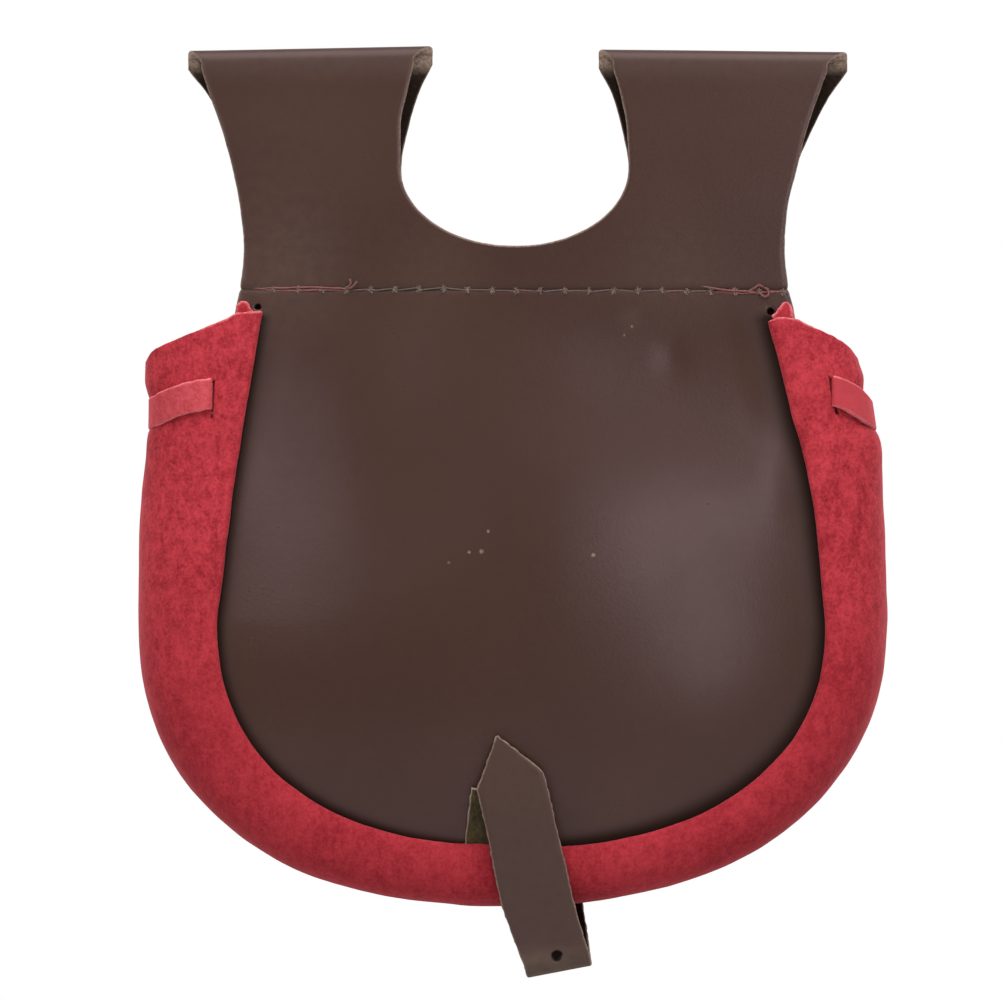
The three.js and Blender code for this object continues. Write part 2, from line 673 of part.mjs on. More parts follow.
function laceAlongWall(side) {
  const stand = (SUEDE + LACE_THICK) / 2 + LACE_STAND;
  const [start, ...others] = slitPlaces(side);
  const end = others.at(-1) + RUN_PAST_SLIT;
  const run = steps(RUN_SAMPLES).map((t) => lerp(start, end, t));
  const points = run.map((u) => bagPoint(side, u, laceHeight(u)));
  const arcs = [0];
  for (let i = 1; i < points.length; i += 1) arcs.push(arcs[i - 1] + points[i].distanceTo(points[i - 1]));
  const doors = others.map((u) => arcs[Math.round(((u - start) / (end - start)) * RUN_SAMPLES)]);
  const passing = (arc, door) => 1 - 2 * smooth((arc - door) / SLIT_PASSAGE + 0.5);
  const threading = (arc) => doors.reduce((state, door) => state * passing(arc, door), 1);
  const path = [];
  let last = -Infinity;
  arcs.forEach((arc, i) => {
    const near = Math.min(...doors.map((door) => Math.abs(arc - door)));
    const step = near < SLIT_NEAR ? SLIT_STEP : WIDE_STEP;
    if (arc < RUN_START || arc - last < step) return;
    last = arc;
    path.push(offWall(side, run[i], laceHeight(run[i]), stand * threading(arc)));
  });
  return path;
}

// One half of the drawstring, from the middle of the back, inside, to its tail under the flap
function laceHalf(side) {
  const reach = (SUEDE + LACE_THICK) / 2 + LACE_STAND + TAIL_STAND;
  const tail = LACE_TAIL.map(({ x, z }) => offWall(side, frontPlace(side, x, z), z, reach));
  return [...laceInside(side), ...laceAlongWall(side), ...tail];
}

function laceGeometry() {
  const path = [...laceHalf("left").reverse(), ...laceHalf("right")];
  const stations = path.map(({ at, normal }, i) => {
    const ahead = path[Math.min(i + 1, path.length - 1)].at;
    const along = ahead.clone().sub(path[Math.max(i - 1, 0)].at);
    return { at, across: normal.clone().cross(along).normalize(), half: LACE_WIDTH / 2 };
  });
  return band(stations, LACE_THICK);
}

// The flap hangs from the seam, bends out over the mouth and lies down the front of the bag
const flapHalf = through(FLAP_SECTIONS, "half");
const flapOff = through(FLAP_SECTIONS, "off");

function flapDepth(x, z) {
  const side = x < 0 ? "left" : "right";
  const height = Math.min(z, MOUTH_SIDE);
  const front = plainBagPoint(side, frontPlace(side, x, height), height).y;
  const seated = CLOSED_LAYER + LEATHER + SEAT;
  return lerp(seated, front + flapOff(z), smooth((FLAP_BEND - z) / FLAP_DROP));
}

function flapGeometry() {
  const sheet = new Sheet();
  const columns = steps(FLAP_COLUMNS).map((t) => 2 * t - 1);
  const lower = roundedHeights(FLAP_FLOOR_ROWS, FLAP_WAIST, FLAP_FLOOR, FLOOR_STOP);
  const rows = [...FLAP_HEIGHTS, ...lower].map((z) => {
    const half = flapHalf(z) * rounded(z, FLAP_WAIST, FLAP_FLOOR);
    return columns.map((t) => sheet.point(t * half, flapDepth(t * half, z), z));
  });
  for (let i = 0; i < rows.length - 1; i += 1) {
    for (let k = 0; k < columns.length - 1; k += 1) {
      sheet.quad(rows[i][k], rows[i][k + 1], rows[i + 1][k + 1], rows[i + 1][k]);
    }
  }
  return sheet.thickened(LEATHER);
}

// Stations along a smooth line through a table's places, turned by the table's lean
function leaning(table, count, half) {
  const line = new THREE.CatmullRomCurve3(table.map(({ x, y, z }) => new THREE.Vector3(x, y, z)));
  const last = table.length - 1;
  const lean = through(table.map((row, i) => ({ at: i / last, lean: row.lean })), "lean", "at");
  return steps(count).map((t) => {
    const turn = THREE.MathUtils.degToRad(lean(t));
    return { at: line.getPoint(t), across: new THREE.Vector3(Math.cos(turn), 0, Math.sin(turn)), half };
  });
}

function strapGeometry() {
  const stations = leaning(STRAP_STATIONS, STRAP_ROWS, STRAP_WIDTH / 2);
  const tip = stations.at(-1).at;
  for (const station of stations) {
    const share = station.at.distanceTo(tip) / STRAP_POINT;
    if (station.at.y < 0) station.half *= THREE.MathUtils.clamp(share, STRAP_TIP, 1);
  }
  const holed = stations.findIndex(({ at }) => at.y < -LEATHER && at.z > HOLE_HEIGHT);
  const { at, across } = stations[holed];
  const along = stations[holed + 1].at.clone().sub(stations[holed - 1].at).normalize();
  const punch = new THREE.CylinderGeometry(STRAP_HOLE / 2, STRAP_HOLE / 2, PUNCH_LENGTH, HOLE_SIDES);
  const normal = across.clone().cross(along).normalize();
  return cut(band(stations, LEATHER), [laid(punch.rotateX(Math.PI / 2), at, normal, along)]);
}

function tabGeometry() {
  return band(leaning(TAB_STATIONS, TAB_ROWS, TAB_WIDTH / 2), TAB_THICK);
}

const BROWN = { color: 0x4b3a32, roughness: 0.5, metalness: 0 };
const RED = { color: 0xaf2d3a, roughness: 0.95, metalness: 0 };
const PINK = { color: 0xb84a52, roughness: 0.95, metalness: 0 };
const OLIVE = { color: 0x5a4a2c, roughness: 0.9, metalness: 0 };

const group = new THREE.Group();
const pieces = [
  { name: "back_panel", geometry: backGeometry(), look: BROWN },
  { name: "front_flap", geometry: flapGeometry(), look: BROWN },
  { name: "suede_bag", geometry: bagGeometry(), look: RED },
  { name: "drawstring", geometry: laceGeometry(), look: PINK },
  { name: "closure_strap", geometry: strapGeometry(), look: BROWN },
  { name: "strap_tab", geometry: tabGeometry(), look: OLIVE },
];
for (const { name, geometry, look } of pieces) {
  const mesh = new THREE.Mesh(geometry, new THREE.MeshStandardMaterial(look));
  mesh.name = name;
  group.add(mesh);
}

export default group;
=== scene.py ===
"""A belt pouch for the studio: a smooth brown leather back with two belt loops, a red suede bag with a turned
seam and a drawstring, a front flap and a pointed closing strap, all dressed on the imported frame."""

import itertools
import math

import bpy
import numpy as np
from bpy.props import FloatProperty, FloatVectorProperty, IntProperty, PointerProperty
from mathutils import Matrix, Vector


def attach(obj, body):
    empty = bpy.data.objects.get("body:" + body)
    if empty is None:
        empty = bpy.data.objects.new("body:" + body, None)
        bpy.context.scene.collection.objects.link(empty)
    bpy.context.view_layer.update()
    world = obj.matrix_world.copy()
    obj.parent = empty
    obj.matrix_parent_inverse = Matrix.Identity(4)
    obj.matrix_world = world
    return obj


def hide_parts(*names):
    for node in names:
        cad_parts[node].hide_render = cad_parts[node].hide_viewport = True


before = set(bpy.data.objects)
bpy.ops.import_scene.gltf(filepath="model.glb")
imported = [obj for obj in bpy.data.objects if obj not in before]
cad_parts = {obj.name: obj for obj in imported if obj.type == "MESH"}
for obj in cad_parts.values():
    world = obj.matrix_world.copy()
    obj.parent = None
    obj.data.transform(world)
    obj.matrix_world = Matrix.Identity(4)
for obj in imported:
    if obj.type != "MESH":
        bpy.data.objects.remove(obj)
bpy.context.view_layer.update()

bl_info = {
    "name": "Belt Pouch",
    "version": (1, 0, 0),
    "blender": (4, 5, 0),
    "location": "3D View > Sidebar > Pouch",
    "description": "Builds a leather and suede belt pouch on its packed frame",
    "category": "Add Mesh",
}

BODY = "root"
SIGN = {"left": -1, "right": 1}

# Lengths below are in millimetres, +Z up, with the leather back towards -Y
MM = 0.001
LEATHER = 2.2
SUEDE = 1.3
LACE_THICK = 1.3
LACE_WIDTH = 7.5
TAB_THICK = 1.6
SEAT = 0.3

# Belt loops, and the rounded notch between them
FOLD_START = -2.5
LOOP_LAYERS = {"near": 2, "far": 5.2}
CLOSED_LAYER = (LEATHER + SEAT) / 2
TUNNEL_FLOOR = -46
LAYERS_LEAN = -34
FOLD_LAYER = 1.25
FOLD_RISE = 2.2
FOLD_TOP = LEATHER / 2 - FOLD_RISE
FOLD_LEAN = -22
FOLD_FLARE = 0.62
FOLD_CUT = -5.5
# Paler, duller top of the fold: wear, and a painted soft highlight where the fold turns up to the light
FOLD_WEAR_AND_SHEEN = {"bottom": -8, "most": 0.22}
NOTCH_SIDE = -28
NOTCH_FLOOR = -48
SEAM = -58.5
LAYERS_MEET = -57
LOOP_END = -64.5

# Heights of the back and the bag
MOUTH_BACK = -63
MOUTH_SIDE = -73
MOUTH_FRONT = -80
WAIST = -141
SEAM_FLOOR = -198
PANEL_FLOOR = -201.5
BAG_FLOOR = -211.9
CORNER = 2.3
BAG_CORNER = {"left": 2.34, "right": 2.2}

# Swell of the back, and the suede border that rolls over its edge
SWELL_SHOULDER = 3
SWELL_RISE = 1.8
SWELL_FALL = 1.1
BORDER_RISE = 2.2
CREST = -CLOSED_LAYER - LEATHER / 2 - BORDER_RISE
LIP_DROP = 0.5
LIP_WIDTH = 3
LIP_ROLL = 0.8
LIP_TURN = 1.9
LIP_FLOOR = SEAM_FLOOR - LIP_ROLL
FLOOR_DEPTH = 8
BORDER_ROUND = 2.2
FLOOR_BORDER_ROUND = 3.2
FRONT_ROUND = 2.6
BORDER_SHARE = 0.28
PLACE_STEP = 0.004
HEIGHT_STEP = 0.5

# Gathers of the mouth
GATHER = 2
GATHERS = 3
GATHER_FLOOR = -130
GATHER_TOP = -90
GATHER_FADE = 1.5
LEVEL_TOP = -118

# Drawstring and its slits
LACE_LINES = {"left": {"back": -84.4, "side": -89.4}, "right": {"back": -82.4, "side": -90}}
LACE_SWEEP = 3
LACE_FRONT = -94
LACE_STAND = 0.3
TAIL_STAND = 0.7
SLIT_GAPE = 1.9
SLIT_HEIGHT = LACE_WIDTH + 2.9
SLIT_DROP = 1.3
SLIT_PASSAGE = 2.4
BACK_SLIT = {"left": 75.4, "right": 79, "z": -84.4}
FRONT_SLITS = (0.36, 0.5, 0.66, 0.84)
RUN_PAST_SLIT = 0.018
RUN_START = 1.7
SLIT_BEND = ((-0.4, 2), (0.5, 1.5), (0.65, 0.7), (0.7, -0.1), (0.8, -0.8), (1.1, -1.4))
RUN_STEP = 0.6

# Front flap, closing strap and tab
FLAP_TOP = -56
FLAP_BEND = -57
FLAP_DROP = 26
FLAP_WAIST = -98
FLAP_FLOOR = -146
STRAP_WIDTH = 17.3
STRAP_POINT = 11.2
STRAP_HOLE = 2.6
HOLE_RIM = 0.7
HOLE_HEIGHT = -224.8
HOLE_ASIDE = 0.4
# Paler strap round its bend under the bag: a little wear all along, and a painted reflection of the pale
# floor where the bend faces down
BEND_WEAR_AND_SHEEN = {"top": -221, "bottom": -228, "least": 0.15}
TAB_WIDTH = 16.6
STITCH_HOLE = 1.7


def table(names, *rows):
    """A short table, each row as a dictionary of its named columns."""
    return [dict(zip(names.split(), row)) for row in rows]


# Outer edges of the back and of the near layer of its loops, as distances from the middle
NEAR_EDGES = table(
    "z left right",
    (FOLD_START, 78.3, 78),
    (-9, 76.2, 75.6),
    (-18, 73.1, 72.7),
    (NOTCH_SIDE, 70.5, 70.3),
    (-38, 68.6, 68),
    (NOTCH_FLOOR, 67.7, 67.3),
    (SEAM, 68.7, 68.3),
    (MOUTH_BACK, 69.7, 69.5),
    (-75, 71.2, 71),
    (-90, 73.2, 74.4),
    (-115, 77, 80),
    (WAIST, 80, 83.2),
)

# Inner edges of the near layer, down to the notch between the loops
NOTCH_EDGES = table(
    "z left right",
    (FOLD_START, 25.3, 24.4),
    (-9, 26.9, 26.3),
    (-18, 28.6, 27.9),
    (NOTCH_SIDE, 28.6, 28.3),
    (NOTCH_FLOOR, 28.6, 28.3),
)

# Edges of the far layer of the loops, which is widest just past the fold
FAR_EDGES = table(
    "z outer_left inner_left inner_right outer_right",
    (FOLD_START, 81.6, 20.6, 20.9, 83),
    (-9, 76.5, 23.9, 24.3, 78.4),
    (-18, 72, 26.6, 26.8, 74),
    (NOTCH_SIDE, 70, 28.4, 28.4, 70.2),
    (TUNNEL_FLOOR, 67.6, 27, 27, 67.2),
    (LOOP_END, 67.8, 26, 26, 67.4),
)

# How far the top of each loop hangs down, at its outer and inner end
LOOP_DROPS = {"left": {"outer": 1.0, "inner": -0.2}, "right": {"outer": 1.4, "inner": 0.7}}

# The visible seam between the back and the suede border, down to the waist
SEAM_EDGES = table(
    "z left right",
    (MOUTH_BACK, 63, 63),
    (-86, 67.2, 68.6),
    (-111, 71.2, 74.6),
    (WAIST, 74.7, 78),
)

# The mouth of the bag across each border, from the lip to the widest line
MOUTH_LINES = {
    "left": table(
        "share z",
        (0, -64.5), (0.19, -64.9), (0.25, -66), (0.44, -68.2),
        (0.66, -70.8), (0.85, -73), (0.94, -74.3), (1, -76.8),
    ),
    "right": table(
        "share z",
        (0, -66.4), (0.06, -66), (0.29, -66.4), (0.36, -67.3),
        (0.57, -69.2), (0.78, -71.3), (0.93, -73.6), (1, -76.1),
    ),
}

# Sections of the bag: half widths down to the waist, where the widest line lies, and how far it swells
BAG_SECTIONS = table(
    "z left right side depth",
    (MOUTH_BACK, 92.2, 84.3, 6, 17.5),
    (MOUTH_SIDE, 92.2, 84.9, 6.5, 21.5),
    (-77, 92.2, 85.8, 6.7, 23),
    (-81, 92.2, 87, 7, 24.5),
    (-84, 91.6, 87, 7.3, 25.7),
    (-86.5, 90.7, 87.8, 7.6, 26.6),
    (-89.3, 90.1, 88.3, 7.9, 27.5),
    (-92, 90.5, 88.8, 8.1, 28.3),
    (-94.5, 91.6, 90.8, 8.4, 29.1),
    (-97, 92, 91.6, 8.7, 29.9),
    (-100, 92.2, 91.9, 9, 30.7),
    (-109, 93.4, 91.9, 10, 33.2),
    (-121, 94.2, 92.5, 11, 36),
    (WAIST, 94.2, 93, 12, 39),
    (-165, 94.2, 93, 12, 40),
    (-185, 94.2, 93, 11, 35.5),
    (SEAM_FLOOR, 94.2, 93, 9.5, 28),
    (-206, 94.2, 93, 8.5, 20.5),
    (-211, 94.2, 93, FLOOR_DEPTH, 13),
    (BAG_FLOOR, 94.2, 93, FLOOR_DEPTH, FLOOR_DEPTH),
)

# The flap: half width, and how far it stands off the suede
FLAP_SECTIONS = table(
    "z half off",
    (FLAP_TOP, 65.5, 8),
    (-64, 67, 8),
    (-80, 70, 8),
    (FLAP_WAIST, 71, 7),
    (-120, 71, 5.6),
    (FLAP_FLOOR, 71, 3.6),
)

# The closing strap from its end on the flap, under the bag and up the back; lean turns it across the bag
STRAP_STATIONS = table(
    "x y z lean",
    (0, 42.8, -112, 0),
    (0, 45.3, -130, 0),
    (0.4, 46.3, -146, 2),
    (1.4, 45.6, -160, 4),
    (2.9, 42.6, -175, 6),
    (4.7, 36.6, -190, 7),
    (7.1, 27, -205, 8),
    (9.3, 15.5, -217, 9),
    (10.6, 7.5, -224, 10),
    (11, 2.6, -227, 10.5),
    (10.9, -1.2, -227.6, 11),
    (10.3, -3.6, -225.4, 12),
    (8.9, -4.2, -221.5, 13.5),
    (5.7, -6, -211.5, 15),
    (3.2, -7.6, -200.5, 15),
    (0.6, -9.2, -188.5, 15),
    (-2, -10, -178, 15),
    (-4.4, -10, -170.2, 15),
)

# How wide the strap is for its size, along it from its tip
STRAP_SHARES = table("along share", (0, 1), (22, 1), (36, 1.04), (46, 1.01), (56, 0.95), (66, 0.94), (90, 1))

# The tab from the bottom seam to the strap's back
TAB_STATIONS = table(
    "x y z lean",
    (-4.4, -1.6, -200.6, -6),
    (-4.2, -2.6, -198.4, -6),
    (-4, -3.9, -195.6, -6),
    (-3.6, -5.1, -192.5, -6),
    (-3, -6.4, -187.5, -6),
    (-2.6, -7.2, -184, -6),
)

# Each tail of the drawstring, from where it comes out of its last slit to its end under the flap
LACE_TAIL = table(
    "x z",
    (24, -94.2),
    (17, -95.6),
    (12, -99),
    (9.2, -104),
    (8.4, -111),
    (8.2, -119),
    (8.2, -128),
)

# Awl holes beside the upper corners of the suede
AWL_HOLES = table("x z", (-64.2, -63), (63.8, -64))

# Upper edge of the turned seam allowance that stands out at each corner of the suede
ALLOWANCE_TOPS = {
    "left": table("x z", (65.6, -64.6), (66.4, -63.6), (67.2, -62.4), (68.2, -62.2), (68.9, -62.8)),
    "right": table("x z", (65, -65.2), (66.4, -63.7), (67.7, -62.2), (68.2, -62.5), (68.7, -64)),
}
ALLOWANCE_FLOOR = -70

# Soft rounds in the back: its middle, its left shoulder, a hollow and a rise at the right, and a small dent
PANEL_ROUNDS = table(
    "x z wide high rise",
    (8, -112.5, 29, 31, 2),
    (-39, -86, 18.5, 29, 1.05),
    (33.5, -83.5, 33.5, 20, -1.2),
    (78, -106, 22, 10, 1.05),
    (39, -75.4, 4, 4.5, -0.28),
)

# How far under the seam the rounds fade in, and how soon they do beside the suede
ROUNDS_FADE = 14
ROUNDS_SPREAD = 2.2

# Pale dots on the grain of the back: painted glints of tiny pits in its middle, and two scratches by the
# seam; and how much of each is fully pale
NICKS_AND_GLINTS = table(
    "x z size",
    (-16.5, -126.6, 0.45),
    (-11.5, -124, 0.6),
    (-8.4, -123.8, 0.75),
    (-6.7, -118.8, 0.55),
    (19.5, -124.7, 0.65),
    (29.2, -67.7, 0.5),
    (27.2, -69.8, 0.45),
)
DOT_CORE = 0.4

# Paler places on the back: rubbed wear, and at the left above the seam a painted sheen as well
SCUFFS_AND_SHEEN = table(
    "x z size pale",
    (-58, -53, 26, 0.1),
    (-54, -26, 38, 0.035),
    (-20, -53, 20, 0.05),
    (40, -53, 24, 0.05),
    (29, -66, 5, 0.05),
)

# Painted shade on the back, for the shadow of the suede's lip beside it and the shade in the sewn groove: how
# far it reaches over the back at each side, and how dark it is
PAINTED_SEAM_SHADE = {"left": 2.4, "right": 4, "strength": 0.9, "step": 0.2, "sewn": 0.5, "sewn_wide": 0.55}

# Gloss of the grain, and of its dull places
GLOSS = 0.4
DULL_GLOSS = 0.08

# Painted shade on the suede, darker towards the bottom as under light from above
BAG_PAINTED_SHADE = {"top": -115, "bottom": -170, "most": 0.42}

# Painted shade over the right of the lace, which lies in shade there, and how strong it is
LACE_PAINTED_SHADE = 0.8

# A crease in the suede border, low on the left, and how far round the side it may reach
BORDER_CREASE = {
    "start": (-72.4, -167), "end": (-71.6, -187), "wide": 1.8, "deep": 0.7, "ends": 0.02, "reach": 2,
}

# How ragged the cut edge of each piece is
RAGGED = {"back": 0.15, "flap": 0.15, "bag": 0.2, "allowance": 0.6, "lace": 0.35, "strap": 0.4, "tab": 0.5}

# Lumps of each piece, in layers: how large, how high and which
LUMPS = {
    "back": table("scale height seed", (38, 0.16, 1), (15, 0.018, 2)),
    "flap": table("scale height seed", (38, 0.16, 41), (15, 0.018, 42)),
    "bag": table("scale height seed", (21, 0.4, 11), (8, 0.16, 12), (3.2, 0.06, 13)),
    "allowance": table("scale height seed", (3, 0.1, 22)),
    "allowance_top": table("scale height seed", (0.9, 0.3, 21)),
    "lace_width": table("scale height seed", (9, 0.05, 31)),
    "strap_width": table("scale height seed", (7, 0.12, 51)),
    "tab": table("scale height seed", (4, 0.2, 62)),
    "tab_width": table("scale height seed", (4, 0.2, 61)),
}

# Smooth noise: how far a seed moves it, and what turns a place into a height
SEED_SHIFT = 31.7
NOISE_TURN = np.array([127.1, 311.7, 74.7])
NOISE_SPREAD = 43758.5453


def smooth(t):
    """An even start and stop from 0 to 1."""
    t = np.clip(t, 0, 1)
    return t * t * (3 - 2 * t)


def lerp(a, b, t):
    """The value a share of the way from one to another."""
    return a + (b - a) * t


def unit(vectors):
    """Vectors of length one."""
    length = np.linalg.norm(vectors, axis=-1, keepdims=True)
    return vectors / np.maximum(length, 1e-12)


def through(rows, column, along="z"):
    """A smooth curve through one column of a table, without overshoot."""
    knots = sorted((row[along], row[column]) for row in rows)
    at = np.array([knot[0] for knot in knots], float)
    value = np.array([knot[1] for knot in knots], float)
    rise = np.diff(value) / np.diff(at)
    product = rise[:-1] * rise[1:]
    total = np.where(product > 0, rise[:-1] + rise[1:], 1)
    inner = np.where(product > 0, 2 * product / total, 0)
    slope = np.concatenate([rise[:1], inner, rise[-1:]])

    def curve(place):
        place = np.clip(place, at[0], at[-1])
        i = np.clip(np.searchsorted(at, place) - 1, 0, len(at) - 2)
        span = at[i + 1] - at[i]
        t = (place - at[i]) / span
        start = value[i] * (1 + 2 * t) * (1 - t) ** 2 + slope[i] * span * t * (1 - t) ** 2
        end = value[i + 1] * t * t * (3 - 2 * t) + slope[i + 1] * span * t * t * (t - 1)
        return start + end

    return curve


def rounded(z, widest, floor, corner=CORNER):
    """How much of its width a rounded outline keeps between its widest line and its floor."""
    drop = np.clip((widest - z) / (widest - floor), 0, 1)
    return (1 - drop**corner) ** (1 / corner)


def rounded_heights(count, widest, floor, last=1.0):
    """Heights down a rounded outline, close together where it turns."""
    turn = np.linspace(0, last * math.pi / 2, count + 1)
    return lerp(widest, floor, np.sin(turn) ** (2 / CORNER))


def unevenness(points, scale, seed):
    """Smooth noise from -1 to 1 at places, its lumps about as large as the scale."""
    place = points / scale + SEED_SHIFT * seed
    cell = np.floor(place)
    share = smooth(place - cell)
    total = np.zeros(points.shape[:-1])
    for corner in itertools.product((0, 1), repeat=3):
        spot = cell + corner
        mixed_up = np.sin(spot @ NOISE_TURN) * NOISE_SPREAD
        weight = np.prod(np.where(np.array(corner) == 1, share, 1 - share), axis=-1)
        total += weight * (2 * (mixed_up - np.floor(mixed_up)) - 1)
    return total


def lumps(points, name):
    """How far the lumps of a piece stand out at its points."""
    return sum(row["height"] * unevenness(points, row["scale"], row["seed"]) for row in LUMPS[name])


def steps(start, end, count):
    """Even steps from one value to another, without the first."""
    return np.linspace(start, end, count + 1)[1:]


def run_lengths(points):
    """How far along a line each of its points lies."""
    return np.concatenate([[0], np.cumsum(np.linalg.norm(np.diff(points, axis=0), axis=1))])


def side_of(x):
    """The side of the pouch that a place lies on."""
    return "left" if x < 0 else "right"


# The edge of a cut sheet from face to face: reach outwards, height, and how much it shows its cut
EDGE_PROFILE = table(
    "out height cut",
    (0.5, 0.94, 0.55),
    (0.86, 0.74, 1),
    (1, 0.35, 1),
    (1, -0.35, 1),
    (0.86, -0.74, 1),
    (0.5, -0.94, 0.55),
)
WIDEST_MITRE = 1.5
RAGGED_SCALE = 1.1
RAGGED_SEED = 3
HOLE_RINGS = (0.35, 0.7, 1)


def between_cells(grid, spots):
    """Places of a grid at rows and columns that need not be whole."""
    row, column = np.floor(spots).astype(int).T
    down, across = (spots - np.floor(spots)).T[..., None]
    upper = lerp(grid[row, column], grid[row, column + 1], across)
    lower = lerp(grid[row + 1, column], grid[row + 1, column + 1], across)
    return lerp(upper, lower, down)


class Hide:
    """A sheet of leather or suede, laid out as points and faces, that gets its thickness and its cut edge."""

    def __init__(self):
        self.points = np.empty((0, 3))
        self.faces = []
        self.punched = []

    def lay(self, places):
        """Adds a grid of places and gives back their numbers."""
        start = len(self.points)
        self.points = np.concatenate([self.points, places.reshape(-1, 3)])
        return np.arange(start, len(self.points)).reshape(places.shape[:-1])

    def cover(self, numbers, cut_out=None):
        """Covers a grid of numbers with faces, but for the cells that are cut out."""
        corners = [numbers[:-1, :-1], numbers[:-1, 1:], numbers[1:, 1:], numbers[1:, :-1]]
        cells = np.stack(corners, axis=-1)
        self.faces.append(cells.reshape(-1, 4) if cut_out is None else cells[~cut_out])

    def punch(self, numbers, cut_out, centre, radius, reach):
        """Cuts a block of cells out of a grid round a place, and fills it again up to a round hole."""
        grid = self.points[numbers]
        away = np.linalg.norm(grid - centre, axis=-1)
        row, column = np.unravel_index(np.argmin(away), away.shape)
        nearest = np.array([row, column])
        here = grid[row, column]
        cell = np.stack([grid[row + 1, column] - here, grid[row, column + 1] - here])
        middle = nearest + np.linalg.lstsq(cell.T, centre - here, rcond=None)[0]
        side = np.arange(-reach, reach)
        level = np.full_like(side, reach)
        walk = [[-level, side], [side, level], [level, -side], [-side, -level]]
        ring = np.concatenate(walk, axis=1).T + nearest
        cut_out[row - reach:row + reach, column - reach:column + reach] = True
        rings = [numbers[tuple(ring.T)]]
        inwards = ring - middle
        length = np.linalg.norm(inwards @ cell, axis=1, keepdims=True)
        for share in HOLE_RINGS:
            spots = middle + inwards * lerp(1, radius / length, share)
            rings.append(self.lay(between_cells(grid, spots)))
        self.punched.extend(rings[-1])
        for first, second in zip(rings, rings[1:]):
            quads = [first, np.roll(first, -1), np.roll(second, -1), second]
            self.faces.append(np.stack(quads, axis=-1))

    def normals(self, faces):
        """The way out of the sheet at each of its points."""
        a, b, c, d = (self.points[faces[:, corner]] for corner in range(4))
        facing = np.cross(c - a, d - b)
        total = np.zeros_like(self.points)
        for corner in range(4):
            np.add.at(total, faces[:, corner], facing)
        return unit(total)

    def pressed(self, heights):
        """Moves each point out of the sheet by its height."""
        self.points = self.points + self.normals(np.concatenate(self.faces)) * heights[:, None]

    def border(self, faces, normals):
        """The edges with one face, the points on them, and the way out of the sheet there."""
        count = len(self.points)
        starts = faces.ravel()
        ends = np.roll(faces, -1, axis=1).ravel()
        real = starts != ends
        starts, ends = starts[real], ends[real]
        single = ~np.isin(starts * count + ends, ends * count + starts)
        starts, ends = starts[single], ends[single]
        sideways = unit(np.cross(self.points[ends] - self.points[starts], normals[starts] + normals[ends]))
        total = np.zeros_like(self.points)
        np.add.at(total, starts, sideways)
        np.add.at(total, ends, sideways)
        points = np.unique(starts)
        length = np.linalg.norm(total[points], axis=1, keepdims=True)
        mitre = np.minimum(2 / np.maximum(length, 1e-6), WIDEST_MITRE)
        return starts, ends, points, unit(total[points]) * mitre

    def solid(self, thickness, edge, ragged=0.0, folded=()):
        """Points, faces and marks of the closed sheet, its edge rounded, ragged and pale unless folded."""
        faces = np.concatenate(self.faces)
        normals = self.normals(faces)
        starts, ends, border, out = self.border(faces, normals)
        count = len(self.points)
        slot = np.zeros(count, int)
        slot[border] = np.arange(len(border))
        rough = 1 + ragged * unevenness(self.points[border], RAGGED_SCALE, RAGGED_SEED)
        vertices = [self.points + normals * thickness / 2, self.points - normals * thickness / 2]
        cut = [np.zeros(2 * count)]
        flesh = [np.zeros(count), np.ones(count)]
        rings = [border]
        for row in EDGE_PROFILE:
            reach = out * (edge * row["out"] * rough)[:, None]
            height = normals[border] * thickness / 2 * row["height"]
            rings.append(2 * count + len(border) * (len(rings) - 1) + np.arange(len(border)))
            vertices.append(self.points[border] + reach + height)
            cut.append(np.where(np.isin(border, [*self.punched, *folded]), 0, row["cut"]))
            flesh.append(np.full(len(border), 0.5 - 0.5 * row["height"]))
        rings.append(border + count)
        made = [faces, faces[:, ::-1] + count]
        for upper, lower in zip(rings, rings[1:]):
            quads = [upper[slot[ends]], upper[slot[starts]], lower[slot[starts]], lower[slot[ends]]]
            made.append(np.stack(quads, axis=-1))
        made = np.concatenate(made)
        used, renumbered = np.unique(made, return_inverse=True)
        marks = {"cut_edge": np.concatenate(cut)[used], "flesh_side": np.concatenate(flesh)[used]}
        return np.concatenate(vertices)[used], renumbered.reshape(made.shape), marks


def piece(name, vertices, faces, marks, material):
    """A smooth mesh object in metres, with its marks as attributes and its material."""
    mesh = bpy.data.meshes.new(name)
    corners = [list(dict.fromkeys(face)) for face in faces.tolist()]
    mesh.from_pydata((vertices * MM).tolist(), [], [face for face in corners if len(face) > 2])
    for mark, values in marks.items():
        held = mesh.attributes.new(mark, "FLOAT", "POINT")
        held.data.foreach_set("value", np.asarray(values, np.float32))
    mesh.shade_smooth()
    mesh.materials.append(material)
    made = bpy.data.objects.new(name, mesh)
    bpy.context.scene.collection.objects.link(made)
    return made


def seat(made, slot, *nodes):
    """Joins a finished piece to the frame's body and hides the solids it stands for; the slot of its finish
    is not used.
    """
    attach(made, BODY)
    if nodes:
        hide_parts(*nodes)
    return made


def fill(tree, made, inputs):
    """Links or sets inputs of a node."""
    for name, value in inputs.items():
        if isinstance(value, bpy.types.NodeSocket):
            tree.links.new(value, made.inputs[name])
        else:
            made.inputs[name].default_value = value


def node(tree, kind, inputs=None, **settings):
    """A node of a tree with its settings, and its inputs linked or set."""
    made = tree.nodes.new(kind)
    for name, value in settings.items():
        setattr(made, name, value)
    fill(tree, made, inputs or {})
    return made


def opaque(colour):
    """A colour with full cover."""
    return (*colour, 1.0)


# Sockets of a colour mix
MIX_FACTOR, MIX_FIRST, MIX_SECOND, MIX_RESULT = 0, 6, 7, 2


